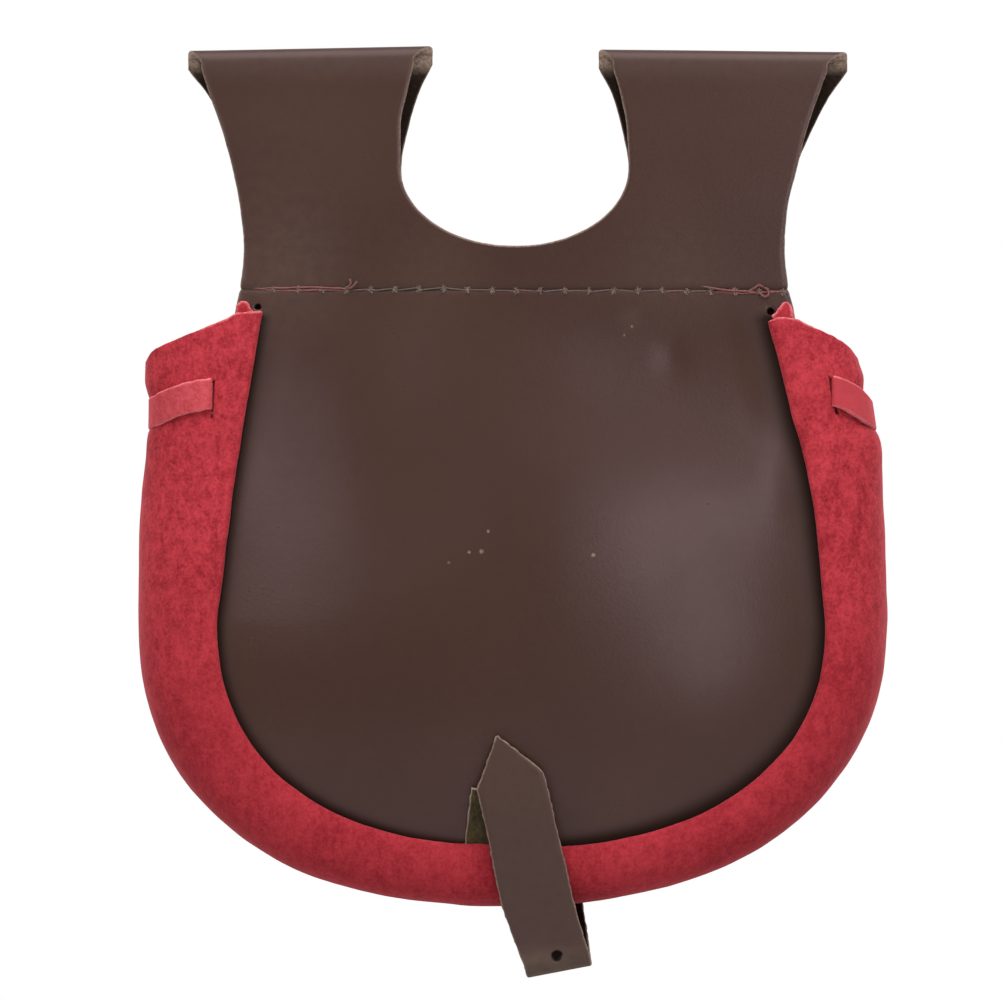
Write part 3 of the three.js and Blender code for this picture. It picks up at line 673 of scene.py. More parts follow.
def mixed(tree, factor, first, second):
    """One colour mixed into another, each from a socket or plain."""
    inputs = {MIX_FACTOR: factor}
    for name, colour in ((MIX_FIRST, first), (MIX_SECOND, second)):
        inputs[name] = colour if isinstance(colour, bpy.types.NodeSocket) else opaque(colour)
    return node(tree, "ShaderNodeMix", inputs, data_type="RGBA").outputs[MIX_RESULT]


def maths(tree, operation, first, second=0.0, clamp=False):
    """One sum of two numbers."""
    inputs = {0: first, 1: second}
    return node(tree, "ShaderNodeMath", inputs, operation=operation, use_clamp=clamp).outputs[0]


def times(tree, first, second):
    """One number times another."""
    return maths(tree, "MULTIPLY", first, second)


def weighed(tree, *shares):
    """Values added up, each times its weight."""
    total, *others = [times(tree, value, weight) for value, weight in shares]
    for other in others:
        total = maths(tree, "ADD", total, other)
    return total


def vector(tree, x=0.0, y=0.0, z=0.0):
    """A vector of three numbers."""
    return node(tree, "ShaderNodeCombineXYZ", {0: x, 1: y, 2: z}).outputs[0]


def vector_maths(tree, operation, inputs):
    """One sum of vectors."""
    made = node(tree, "ShaderNodeVectorMath", inputs, operation=operation)
    return made.outputs["Value" if operation == "DISTANCE" else "Vector"]


def ranged(tree, value, low, high, to_low=0.0, to_high=1.0):
    """A value taken from one range to another, and held inside it."""
    inputs = {"Value": value, "From Min": low, "From Max": high, "To Min": to_low, "To Max": to_high}
    return node(tree, "ShaderNodeMapRange", inputs, interpolation_type="SMOOTHSTEP").outputs["Result"]


def noise(tree, place, scale, detail=4.0, roughness=0.55, distortion=0.0):
    """Noise at a place, its lumps about one unit over the scale wide."""
    inputs = {"Vector": place, "Scale": scale, "Detail": detail}
    inputs.update({"Roughness": roughness, "Distortion": distortion})
    return node(tree, "ShaderNodeTexNoise", inputs).outputs["Fac"]


def stretched(tree, place, scale):
    """A place drawn out by a scale along each axis."""
    return node(tree, "ShaderNodeMapping", {"Vector": place, "Scale": scale}).outputs[0]


def bumped(tree, height, strength, depth):
    """The way out of a surface with its relief, so deep in millimetres."""
    inputs = {"Height": height, "Strength": strength, "Distance": depth * MM}
    return node(tree, "ShaderNodeBump", inputs).outputs[0]


def new_material(name):
    """An empty material with its shader and the place on the piece, and its tree."""
    material = bpy.data.materials.new(name)
    material.use_nodes = True
    tree = material.node_tree
    tree.nodes.clear()
    shader = node(tree, "ShaderNodeBsdfPrincipled")
    node(tree, "ShaderNodeOutputMaterial", {"Surface": shader.outputs[0]})
    place = node(tree, "ShaderNodeTexCoord").outputs["Object"]
    return material, tree, shader, place


def attribute(tree, name):
    """A mark of the piece as a number."""
    return node(tree, "ShaderNodeAttribute", attribute_name=name).outputs["Fac"]


# Scales of each material's patterns, in lumps to the metre
LEATHER_SCALES = {
    "cloud": 24, "speckle": 420, "streak": (90, 90, 1500), "fibre": 1300, "pebble": 1500, "chip": 2600,
}
SUEDE_SCALES = {"patch": 45, "nap": (480, 480, 330), "fibre": 1300}
FLESH_SCALES = {"mat": 260, "fibre": 1500}
THREAD_SCALES = {"blot": 120, "fibre": 3200}

# Where along the seam the thread is stained: towards both ends, and in blots from the middle on
STAINS = {"left": (-44, -36), "right": (44, 54), "blots": (-6, 4)}

# Faint clouds on the studio floor
FLOOR_CLOUD = {"scale": 3, "colour": (0.7, 0.7, 0.7), "most": 0.04}


def away_from(tree, flat, row):
    """Distance over the back from a place in a table."""
    spot = (row["x"] * MM, 0, row["z"] * MM)
    return vector_maths(tree, "DISTANCE", {0: flat, 1: spot})


def nicked_and_glinted(tree, colour, place, flat, nicks_and_glints, pale):
    """Leather with small pale dots: nicks that show its pale fibres, and painted glints."""
    bare = 0.0
    for pale_dot in nicks_and_glints:
        size = pale_dot["size"] * MM
        spot = ranged(tree, away_from(tree, flat, pale_dot), DOT_CORE * size, size, 1.0, 0.0)
        bare = maths(tree, "MAXIMUM", spot, bare)
    chips = ranged(tree, noise(tree, place, LEATHER_SCALES["chip"], detail=2), 0.35, 0.65, 0.1, 0.75)
    return mixed(tree, times(tree, bare, chips), colour, pale)


def scuffed_and_sheened(tree, colour, flat, speckle, scuffs_and_sheen, pale):
    """Leather a little paler in places: rubbed wear, and a painted sheen as well."""
    uneven = ranged(tree, speckle, 0.3, 0.7, 0.6, 1.0)
    for pale_place in scuffs_and_sheen:
        worn = ranged(tree, away_from(tree, flat, pale_place), 0.0, pale_place["size"] * MM, pale_place["pale"], 0.0)
        colour = mixed(tree, times(tree, worn, uneven), colour, pale)
    return colour


def brown_leather(name, colours, nicks_and_glints=(), scuffs_and_sheen=()):
    """Smooth brown leather: a fine pebbled grain, cloudy colour, pale cut edges and a dull flesh side."""
    material, tree, shader, place = new_material(name)
    cloud = noise(tree, place, LEATHER_SCALES["cloud"], detail=3)
    speckle = noise(tree, place, LEATHER_SCALES["speckle"], detail=5, roughness=0.6)
    streak = noise(tree, stretched(tree, place, LEATHER_SCALES["streak"]), 1, detail=3)
    fibre = noise(tree, place, LEATHER_SCALES["fibre"], detail=3, roughness=0.7)
    cut = attribute(tree, "cut_edge")
    painted_shade = attribute(tree, "painted_shade")
    flesh = ranged(tree, attribute(tree, "flesh_side"), 0.55, 0.95)
    # The mark paints the grain paler, for wear and for painted sheen: a soft highlight at the fold and a
    # reflection at the strap's bend
    wear_and_sheen = times(tree, attribute(tree, "wear_and_sheen"), ranged(tree, speckle, 0.3, 0.6, 0.7, 1.0))
    shade = weighed(tree, (cloud, 0.6), (speckle, 0.28), (streak, 0.12))
    grain = mixed(tree, ranged(tree, shade, 0.32, 0.68), colours.brown_deep, colours.brown)
    grain = mixed(tree, wear_and_sheen, grain, colours.wear_and_sheen)
    # Painted shade: where its mark is set, the grain is darkened towards the near black inside colour
    grain = mixed(tree, painted_shade, grain, colours.deep_inside_and_shade)
    # The flesh side is near black, partly as painted shade inside the loops
    inside = mixed(tree, ranged(tree, fibre, 0.25, 0.75), colours.deep_inside_and_shade, colours.inside)
    colour = mixed(tree, flesh, grain, inside)
    edge = mixed(tree, ranged(tree, fibre, 0.3, 0.7), colours.edge_deep, colours.edge)
    worn = times(tree, cut, ranged(tree, fibre, 0.18, 0.5, 0.55, 1.0))
    colour = mixed(tree, worn, colour, edge)
    flat = stretched(tree, place, (1, 0, 1))
    if nicks_and_glints:
        colour = nicked_and_glinted(tree, colour, place, flat, nicks_and_glints, colours.edge)
    colour = scuffed_and_sheened(tree, colour, flat, speckle, scuffs_and_sheen, colours.edge)
    dull = maths(tree, "MAXIMUM", flesh, cut)
    flat_grain = maths(tree, "MAXIMUM", dull, maths(tree, "MAXIMUM", wear_and_sheen, painted_shade))
    smooth_grain = ranged(tree, shade, 0.3, 0.7, 0.31, 0.27)
    pebble = {"Vector": place, "Scale": LEATHER_SCALES["pebble"]}
    pebble = node(tree, "ShaderNodeTexVoronoi", pebble, feature="SMOOTH_F1").outputs["Distance"]
    relief = weighed(tree, (pebble, 0.5), (speckle, 0.35), (fibre, times(tree, dull, 2.0)))
    fill(tree, shader, {
        "Base Color": colour,
        "Roughness": maths(tree, "ADD", smooth_grain, times(tree, flat_grain, 0.5), clamp=True),
        "Normal": bumped(tree, relief, strength=0.1, depth=0.25),
        "Specular IOR Level": ranged(tree, flat_grain, 0.0, PAINTED_SEAM_SHADE["strength"], GLOSS, DULL_GLOSS),
        "Specular Tint": opaque(colours.sheen),
    })
    return material


def suede(name, light, deep, fuzz):
    """Napped suede: brushed light and dark patches, short fibres and a pale fuzz along its cuts."""
    material, tree, shader, place = new_material(name)
    patch = noise(tree, place, SUEDE_SCALES["patch"], detail=3, roughness=0.6, distortion=0.6)
    nap = noise(tree, stretched(tree, place, SUEDE_SCALES["nap"]), 1, detail=5, roughness=0.65)
    fibre = noise(tree, place, SUEDE_SCALES["fibre"], detail=3, roughness=0.7)
    shade = weighed(tree, (patch, 0.2), (nap, 0.4), (fibre, 0.4))
    colour = mixed(tree, ranged(tree, shade, 0.35, 0.65), deep, light)
    # Painted shade: where its mark is set, the suede is darkened towards its deep colour
    colour = mixed(tree, attribute(tree, "painted_shade"), colour, deep)
    fuzzy = times(tree, attribute(tree, "cut_edge"), ranged(tree, fibre, 0.3, 0.6, 0.25, 0.8))
    fill(tree, shader, {
        "Base Color": mixed(tree, fuzzy, colour, fuzz),
        "Roughness": 0.95,
        "Normal": bumped(tree, weighed(tree, (nap, 0.8), (fibre, 0.6)), strength=0.5, depth=0.4),
        "Specular IOR Level": 0.15,
        "Sheen Weight": 0.35,
        "Sheen Roughness": 0.45,
        "Sheen Tint": opaque(fuzz),
    })
    return material


def flesh_leather(name, colours):
    """The dull side of leather: olive brown with matted fibres and pale cut edges."""
    material, tree, shader, place = new_material(name)
    mat = noise(tree, place, FLESH_SCALES["mat"], detail=5, roughness=0.65)
    fibre = noise(tree, place, FLESH_SCALES["fibre"], detail=3, roughness=0.7)
    shade = weighed(tree, (mat, 0.6), (fibre, 0.4))
    colour = mixed(tree, ranged(tree, shade, 0.3, 0.7), colours.flesh_deep, colours.flesh)
    worn = times(tree, attribute(tree, "cut_edge"), ranged(tree, fibre, 0.2, 0.5, 0.6, 1.0))
    fill(tree, shader, {
        "Base Color": mixed(tree, worn, colour, colours.edge),
        "Roughness": 0.92,
        "Normal": bumped(tree, shade, strength=0.6, depth=0.4),
        "Specular IOR Level": 0.2,
    })
    return material


def waxed_thread(name, colours):
    """Hand-sewing thread, stained red towards both ends of the seam, dull between, with pale fluff."""
    material, tree, shader, place = new_material(name)
    across = times(tree, node(tree, "ShaderNodeSeparateXYZ", {"Vector": place}).outputs["X"], 1 / MM)
    left = ranged(tree, across, *STAINS["left"], 1.0, 0.0)
    right = ranged(tree, across, *STAINS["right"])
    blot = ranged(tree, noise(tree, place, THREAD_SCALES["blot"], detail=2), 0.52, 0.62, 0.0, 0.75)
    middle = times(tree, blot, ranged(tree, across, *STAINS["blots"]))
    red = maths(tree, "MAXIMUM", maths(tree, "MAXIMUM", left, right), middle)
    fibre = noise(tree, place, THREAD_SCALES["fibre"], detail=3, roughness=0.7)
    colour = mixed(tree, red, colours.thread_dull, colours.thread_red)
    colour = mixed(tree, ranged(tree, fibre, 0.3, 0.7, 0.35, 0.0), colour, colours.brown_deep)
    fluff = times(tree, attribute(tree, "fluff"), 0.8)
    fill(tree, shader, {
        "Base Color": mixed(tree, fluff, colour, colours.thread_pale),
        "Roughness": 0.7,
        "Normal": bumped(tree, fibre, strength=0.4, depth=0.1),
    })
    return material


def studio_floor(name, colours):
    """A plain pale floor."""
    material, tree, shader, place = new_material(name)
    cloud = noise(tree, place, FLOOR_CLOUD["scale"], detail=2)
    cloud = ranged(tree, cloud, 0.3, 0.7, 0.0, FLOOR_CLOUD["most"])
    colour = mixed(tree, cloud, colours.floor, FLOOR_CLOUD["colour"])
    fill(tree, shader, {"Base Color": colour, "Roughness": 0.9})
    return material


near_edge = {
    "outer_left": through(NEAR_EDGES, "left"),
    "inner_left": through(NOTCH_EDGES, "left"),
    "inner_right": through(NOTCH_EDGES, "right"),
    "outer_right": through(NEAR_EDGES, "right"),
}
EDGE_NAMES = tuple(near_edge)
far_edge = {name: through(FAR_EDGES, name) for name in EDGE_NAMES}
seam_edge = {side: through(SEAM_EDGES, side) for side in SIGN}


def seam_half(side, z):
    """Distance of the seam between back and suede from the middle."""
    return seam_edge[side](z) * rounded(z, WAIST, SEAM_FLOOR)


def panel_swell(x, z, swell):
    """How far the back stands out at a place on it."""
    half = np.where(x < 0, seam_half("left", z), seam_half("right", z))
    down = np.clip((z - MOUTH_BACK) / (SEAM_FLOOR - MOUTH_BACK), 0, 1)
    across = np.maximum(1 - np.abs(x / np.maximum(half, 1e-6)) ** SWELL_SHOULDER, 0)
    lowest = SWELL_RISE / (SWELL_RISE + SWELL_FALL)
    full = (down / lowest) ** SWELL_RISE * ((1 - down) / (1 - lowest)) ** SWELL_FALL
    total = swell * across * full
    kept = smooth(ROUNDS_SPREAD * across) * smooth((SEAM - z) / ROUNDS_FADE)
    for row in PANEL_ROUNDS:
        away = ((x - row["x"]) / row["wide"]) ** 2 + ((z - row["z"]) / row["high"]) ** 2
        total = total + row["rise"] * np.exp(-away) * kept
    return total


def layer_offset(z, layer="near"):
    """How far a layer of the loops lies from the middle: both close up at the seam and at the fold."""
    drawn = lerp(LOOP_LAYERS[layer], FOLD_LAYER, smooth((z - FOLD_LEAN) / (FOLD_TOP - FOLD_LEAN)))
    return lerp(drawn, CLOSED_LAYER, smooth((LAYERS_LEAN - z) / (LAYERS_LEAN - LAYERS_MEET)))


# The groove that the seam is drawn into, and how it nips the edges
GROOVE = {"wide": 0.8, "deep": 0.25}
SEAM_NOTCH = {"wide": 0.7, "deep": 0.3}

# How finely the back is laid: columns, steps of each stretch, rows by the seam, cells round an awl hole
BACK_COLUMNS = 56
BACK_STEPS = {"floor": 58, "notch": 28, "loop": 21, "fold": 16, "far": 35, "end": 17}
LOWEST_ROW = 0.95
ROWS_BELOW = {"gap": 3, "step": 1.5}
ROWS_ABOVE = {"gap": 3.2, "step": 1.2}
SEAM_ROWS = (-2.4, -1.6, -1.1, -0.7, -0.35, 0, 0.35, 0.7, 1.1, 1.6, 2.4)
AWL_CELLS = 2


def panel_row(z):
    """A row of the panel below the loops: its place, its edges from left to right, and if it is split."""
    keep = rounded(z, WAIST, PANEL_FLOOR)
    drawn_in = SEAM_NOTCH["deep"] * math.exp(-(((z - SEAM) / SEAM_NOTCH["wide"]) ** 2))
    outer = [near_edge[name](z) * keep - drawn_in for name in ("outer_left", "outer_right")]
    return {"y": -layer_offset(z), "z": z, "edges": [outer[0], 0, 0, outer[1]], "split": False}


def near_loop_row(z):
    """A row of the loops' near layer, above the floor of the notch."""
    drop = (NOTCH_SIDE - z) / (NOTCH_SIDE - NOTCH_FLOOR)
    arch = math.sqrt(1 - drop**2) if drop > 0 else 1
    edges = [near_edge[name](z) * (arch if "inner" in name else 1) for name in EDGE_NAMES]
    return {"y": -layer_offset(z), "z": z, "edges": edges, "split": True}


def fold_row(turn):
    """A row round the fold at the top of the loops."""
    share = smooth(turn / (FOLD_FLARE * math.pi))
    edges = [lerp(near_edge[name](FOLD_START), far_edge[name](FOLD_START), share) for name in EDGE_NAMES]
    z = FOLD_TOP + FOLD_RISE * math.sin(turn)
    return {"y": -FOLD_LAYER * math.cos(turn), "z": z, "edges": edges, "split": True}


def far_loop_row(z):
    """A row of the loops' far layer."""
    y = layer_offset(z, "far")
    return {"y": y, "z": z, "edges": [far_edge[name](z) for name in EDGE_NAMES], "split": True}


def back_rows():
    """All rows of the back, from its floor up to the fold and down the far layer of the loops."""
    lower = rounded_heights(BACK_STEPS["floor"], WAIST, PANEL_FLOOR, LOWEST_ROW)[::-1]
    below = np.arange(WAIST + ROWS_BELOW["step"], SEAM - ROWS_BELOW["gap"], ROWS_BELOW["step"])
    above = np.arange(SEAM + ROWS_ABOVE["gap"], NOTCH_FLOOR, ROWS_ABOVE["step"])
    panel = [*lower, *below, *(SEAM + np.array(SEAM_ROWS)), *above, NOTCH_FLOOR]
    notch = lerp(NOTCH_SIDE, NOTCH_FLOOR, np.cos(steps(0, math.pi / 2, BACK_STEPS["notch"])))
    loop = steps(NOTCH_SIDE, FOLD_TOP, BACK_STEPS["loop"])[:-1]
    far = steps(FOLD_TOP, TUNNEL_FLOOR, BACK_STEPS["far"])
    end = steps(TUNNEL_FLOOR, LOOP_END, BACK_STEPS["end"])
    return [
        *map(panel_row, panel),
        *map(near_loop_row, [*notch, *loop]),
        *map(fold_row, np.linspace(0, math.pi, BACK_STEPS["fold"] + 1)),
        *map(far_loop_row, [*far, *end]),
    ]


def loop_drop(x, row):
    """How far a place hangs below the plain outline, which only the loops do."""
    if not row["split"]:
        return 0
    side = side_of(x)
    outer_left, inner_left, inner_right, outer_right = row["edges"]
    inner, outer = (inner_left, outer_left) if side == "left" else (inner_right, outer_right)
    share = (abs(x) - inner) / (outer - inner)
    drop = lerp(LOOP_DROPS[side]["inner"], LOOP_DROPS[side]["outer"], share)
    return drop * smooth((row["z"] - NOTCH_FLOOR) / -NOTCH_FLOOR)


def back_hide(sizes):
    """The back with its loops as one cut piece of leather."""
    inset = sizes.leather_edge / MM
    shares = np.linspace(0, 1, BACK_COLUMNS + 1)
    rows = back_rows()
    grids = {side: [] for side in SIGN}
    for row in rows:
        outer_left, inner_left, inner_right, outer_right = row["edges"]
        gap = inset if row["split"] else 0
        left = -lerp(outer_left - inset, inner_left + gap, shares)
        right = lerp(inner_right + gap, outer_right - inset, shares)
        for side, places in (("left", left), ("right", right)):
            grids[side].append([(x, row["y"], row["z"] - loop_drop(x, row)) for x in places])
    hide = Hide()
    numbers, cut_out = {}, {}
    for side, grid in grids.items():
        points = np.array(grid)
        x, y, z = np.moveaxis(points, -1, 0)
        on_panel = (z < SEAM) & (y < 0)
        points[..., 1] -= np.where(on_panel, panel_swell(x, z, sizes.swell / MM), 0)
        numbers[side] = hide.lay(points)
        cut_out[side] = np.zeros(np.array(numbers[side].shape) - 1, bool)
    joined = [not row["split"] for row in rows]
    numbers["right"][joined, 0] = numbers["left"][joined, -1]
    for hole in AWL_HOLES:
        side = side_of(hole["x"])
        centre = np.array([hole["x"], -CLOSED_LAYER, hole["z"]])
        hide.punch(numbers[side], cut_out[side], centre, STITCH_HOLE / 2 + inset, AWL_CELLS)
    for side in SIGN:
        hide.cover(numbers[side], cut_out[side])
    groove = np.exp(-(((hide.points[:, 2] - SEAM) / GROOVE["wide"]) ** 2)) * (hide.points[:, 1] < 0)
    hide.pressed(lumps(hide.points, "back") - GROOVE["deep"] * groove)
    return hide


def painted_seam_shade(points):
    """How much painted shade lies at each point of the back: the shadow of the suede's lip and the shade in
    the sewn groove.
    """
    x, y, z = points.T
    lip = np.zeros(len(points))
    step = PAINTED_SEAM_SHADE["step"]
    for side, sign in SIGN.items():
        slope = (seam_half(side, z + step) - seam_half(side, z - step)) / (2 * step)
        inside = (seam_half(side, z) - np.abs(x)) / np.hypot(1, slope)
        dark = np.exp(-((np.maximum(inside, 0) / PAINTED_SEAM_SHADE[side]) ** 2))
        lip = np.where(np.sign(x) == sign, dark, lip)
    lip = PAINTED_SEAM_SHADE["strength"] * lip * smooth((MOUTH_BACK - z) / LIP_WIDTH)
    sewn = PAINTED_SEAM_SHADE["sewn"] * np.exp(-(((z - SEAM) / PAINTED_SEAM_SHADE["sewn_wide"]) ** 2))
    return np.maximum(lip, sewn) * (y < 0)


bag_width = {side: through(BAG_SECTIONS, side) for side in SIGN}
bag_side = through(BAG_SECTIONS, "side")
bag_depth = through(BAG_SECTIONS, "depth")


def bag_half(side, z):
    """Half width of the bag at a height."""
    return (bag_width[side](z) - SUEDE / 2) * rounded(z, WAIST, BAG_FLOOR, BAG_CORNER[side])


def lip_half(side, z):
    """Distance from the middle of the line that the suede's lip is turned under along."""
    return (seam_edge[side](z) + LIP_ROLL) * rounded(z, WAIST, LIP_FLOOR)


def border_part(u):
    """Share of the way over the border, from the lip to the widest line."""
    return np.minimum(u / BORDER_SHARE, 1)


def front_part(u):
    """Share of the way over the front, from the widest line to the middle."""
    return np.maximum((u - BORDER_SHARE) / (1 - BORDER_SHARE), 0)


def rounded_sine(part, roundness):
    """A quarter turn's rise, as a rounded square's."""
    return np.sin(part * math.pi / 2) ** (2 / roundness)


def rounded_cosine(part, roundness):
    """A quarter turn's fall, as a rounded square's."""
    return np.maximum(np.cos(part * math.pi / 2), 0) ** (2 / roundness)


mouth_line = {side: through(MOUTH_LINES[side], "z", "share") for side in SIGN}


def mouth_height(side, u):
    """Height of the bag's mouth."""
    line = mouth_line[side]
    border = line(rounded_sine(border_part(u), BORDER_ROUND))
    return border + (MOUTH_FRONT - line(1)) * np.sin(front_part(u) * math.pi / 2)


def lace_height(side, u):
    """Height of the drawstring's middle, which dips from the seam to the side and on to the front."""
    line = LACE_LINES[side]
    border = lerp(line["back"], line["side"], rounded_sine(border_part(u), BORDER_ROUND) ** LACE_SWEEP)
    return border + (LACE_FRONT - line["side"]) * np.sin(front_part(u) * math.pi / 2)


def plain_bag_point(side, u, z):
    """A place on the bag before its gathers; below the waist its border runs slantwise in to the seam."""
    u, z = np.broadcast_arrays(np.asarray(u, float), np.asarray(z, float))
    below = np.clip((WAIST - z) / (WAIST - BAG_FLOOR), 0, 1)
    lip_z = np.where(z < WAIST, lerp(WAIST, LIP_FLOOR, below), z)
    lip = lip_half(side, lip_z)
    half = bag_half(side, z)
    front = front_part(u)
    border = border_part(u)
    round_border = lerp(BORDER_ROUND, FLOOR_BORDER_ROUND, smooth(below))
    out = rounded_sine(border, round_border)
    border_x = lerp(lip, half, out)
    border_z = lerp(lip_z, z, out)
    rolled = LIP_DROP * (1 - smooth(np.hypot(border_x - lip, border_z - lip_z) / LIP_WIDTH))
    border_y = lerp(bag_side(z), CREST, rounded_cosine(border, round_border)) + rolled
    front_y = lerp(bag_side(z), bag_depth(z), rounded_sine(front, FRONT_ROUND))
    x = np.where(front > 0, half * rounded_cosine(front, FRONT_ROUND), border_x)
    y = np.where(front > 0, front_y, border_y)
    return np.stack([SIGN[side] * x, y, np.where(front > 0, z, border_z)], axis=-1)


def section_normal(side, u, z):
    """The way out of the bag's wall in its section."""
    ahead = plain_bag_point(side, np.minimum(u + PLACE_STEP, 1), z)
    along = unit(ahead - plain_bag_point(side, np.maximum(u - PLACE_STEP, 0), z))
    x, y = SIGN[side] * along[..., 1], -SIGN[side] * along[..., 0]
    return np.stack([x, y, np.zeros_like(x)], axis=-1)


def bag_point(side, u, z):
    """A place on the bag with its gathers."""
    part = front_part(np.asarray(u, float))
    height = GATHER * smooth((np.asarray(z, float) - GATHER_FLOOR) / (GATHER_TOP - GATHER_FLOOR))
    wave = np.cos(2 * math.pi * GATHERS * (1 - part)) * np.sin(part * math.pi / 2) ** GATHER_FADE
    return plain_bag_point(side, u, z) + section_normal(side, u, z) * (height * wave)[..., None]


def bag_normal(side, u, z):
    """The way out of the gathered bag."""
    ahead = bag_point(side, np.minimum(u + PLACE_STEP, 1), z)
    along = ahead - bag_point(side, np.maximum(u - PLACE_STEP, 0), z)
    down = bag_point(side, u, z - HEIGHT_STEP) - bag_point(side, u, z + HEIGHT_STEP)
    normal = unit(np.cross(along, down))
    facing = np.sum(normal * section_normal(side, u, z), axis=-1, keepdims=True)
    return np.where(facing < 0, -normal, normal)


def front_place(side, x, z):
    """The place on the front at a distance from the middle."""
    share = np.minimum(np.abs(x) / bag_half(side, z), 1)
    turn = np.arccos(share ** (FRONT_ROUND / 2)) / (math.pi / 2)
    return BORDER_SHARE + (1 - BORDER_SHARE) * turn


def border_place(side, x, z):
    """The place on the border at a distance from the middle."""
    lip = lip_half(side, z)
    share = (x - lip) / (bag_half(side, z) - lip)
    return BORDER_SHARE * np.arcsin(share ** (BORDER_ROUND / 2)) / (math.pi / 2)


def slit_places(side):
    """The places of the drawstring's slits, the one on the border first."""
    front = BORDER_SHARE + np.array(FRONT_SLITS) * (1 - BORDER_SHARE)
    return np.array([border_place(side, BACK_SLIT[side], BACK_SLIT["z"]), *front])


# How finely the suede is laid
BORDER_COLUMNS = 40
ROLL_COLUMNS = 5
FRONT_COLUMNS = 84
MOUTH_ROWS = 10
SLIT_ROWS = 8
GATHER_ROWS = 22
LEVEL_ROWS = 18
FLOOR_ROWS = 76


def bag_places(side):
    """Places round one half of the bag, and the columns that lie on the edges of each slit."""
    border = BORDER_SHARE * np.linspace(0, 1, BORDER_COLUMNS + 1)
    front = BORDER_SHARE + (1 - BORDER_SHARE) * np.linspace(0, 1, FRONT_COLUMNS + 1)[1:]
    places = np.concatenate([border, front])
    slits = []
    for u in slit_places(side):
        z = lace_height(side, u)
        step = bag_point(side, u + PLACE_STEP, z) - bag_point(side, u - PLACE_STEP, z)
        half = SLIT_GAPE * PLACE_STEP / np.linalg.norm(step)
        first = int(np.argmin(np.abs(places - u + half)))
        last = max(int(np.argmin(np.abs(places - u - half))), first + 1)
        places[first:last + 1] = np.linspace(u - half, u + half, last - first + 1)
        slits.append((first, last))
    return places, slits


def bag_heights(side, places):
    """Heights of the bag's rows at each place, from its mouth to its lowest point."""
    upper = lace_height(side, places) - SLIT_DROP + SLIT_HEIGHT / 2
    lower = upper - SLIT_HEIGHT

    def between(top, bottom, count):
        return [lerp(top, bottom, share) for share in np.linspace(0, 1, count + 1)[:-1]]

    level = np.full_like(places, LEVEL_TOP)
    rows = [
        *between(mouth_height(side, places), upper, MOUTH_ROWS),
        *between(upper, lower, SLIT_ROWS),
        *between(lower, level, GATHER_ROWS),
        *between(level, np.full_like(places, WAIST), LEVEL_ROWS),
    ]
    floor = rounded_heights(FLOOR_ROWS, WAIST, BAG_FLOOR)
    rows.extend(np.full_like(places, z) for z in floor)
    return np.array(rows)


def crease_depth(points):
    """The crease low on the left of the border."""
    start, end = np.array(BORDER_CREASE["start"]), np.array(BORDER_CREASE["end"])
    flat = points[:, [0, 2]] - start
    along = end - start
    share = np.clip(flat @ along / (along @ along), 0, 1)
    away = np.linalg.norm(flat - share[:, None] * along, axis=1)
    fade = np.sin(math.pi * np.clip(share, BORDER_CREASE["ends"], 1 - BORDER_CREASE["ends"]))
    behind = points[:, 1] < BORDER_CREASE["reach"]
    return BORDER_CREASE["deep"] * np.exp(-((away / BORDER_CREASE["wide"]) ** 2)) * fade * behind


def tab_rise(points):
    """How far the lip is lifted where the strap's tab comes out of the seam."""
    across = (points[:, 0] - TAB_STATIONS[0]["x"]) / TAB_WIDTH
    down = (points[:, 2] - SEAM_FLOOR) / LIP_WIDTH
    return TAB_THICK / 2 * np.exp(-(2 * across) ** 4 - down**2) * (points[:, 1] < 0)


def lip_roll(grid):
    """The suede turned under along its lip, as columns that come before the border's."""
    edge = grid[:, 0]
    along = unit(grid[:, 1] - edge)
    normal = unit(np.cross(along, np.gradient(edge, axis=0)))
    normal = np.where(normal[:, 1:2] > 0, -normal, normal)
    turns = np.linspace(LIP_TURN, 0, ROLL_COLUMNS + 1)[:-1]
    columns = [edge - LIP_ROLL * ((1 - math.cos(turn)) * normal + math.sin(turn) * along) for turn in turns]
    return np.concatenate([np.stack(columns, axis=1), grid], axis=1)


def bag_hide():
    """The suede bag as one shell with slits and an open mouth, and the points of its folded edges."""
    hide = Hide()
    halves, cut_outs = [], []
    for side in SIGN:
        places, slits = bag_places(side)
        heights = bag_heights(side, places)
        halves.append(lip_roll(bag_point(side, np.broadcast_to(places, heights.shape), heights)))
        cut_out = np.zeros(np.array(halves[-1].shape[:2]) - 1, bool)
        for first, last in slits:
            cut_out[MOUTH_ROWS:MOUTH_ROWS + SLIT_ROWS, ROLL_COLUMNS + first:ROLL_COLUMNS + last] = True
        cut_outs.append(cut_out)
    left, right = halves
    numbers = hide.lay(np.concatenate([left, right[:, -2::-1]], axis=1))
    last = numbers[-1]
    shared = ROLL_COLUMNS + BORDER_COLUMNS
    last[shared:-shared] = last[shared]
    last[-shared:] = last[:shared][::-1]
    hide.cover(numbers, np.concatenate([cut_outs[0], cut_outs[1][:, ::-1]], axis=1))
    hide.pressed(lumps(hide.points, "bag") - crease_depth(hide.points) + tab_rise(hide.points))
    around_slits = numbers[MOUTH_ROWS:MOUTH_ROWS + SLIT_ROWS + 1]
    raw = ROLL_COLUMNS + BORDER_COLUMNS // 3
    return hide, [*numbers[:, 0], *numbers[:, -1], *around_slits.ravel(), *numbers[0, raw:-raw]]


# The turned seam allowance: how finely it is laid, how it narrows, leans and sinks, and how thick it is
ALLOWANCE = {"columns": 18, "rows": 24, "lean": 0.8, "thick": 0.85}
ALLOWANCE_NARROW = {"share": 0.55, "length": 0.4}
ALLOWANCE_SINK = {"depth": 0.35, "length": 1 / 3}


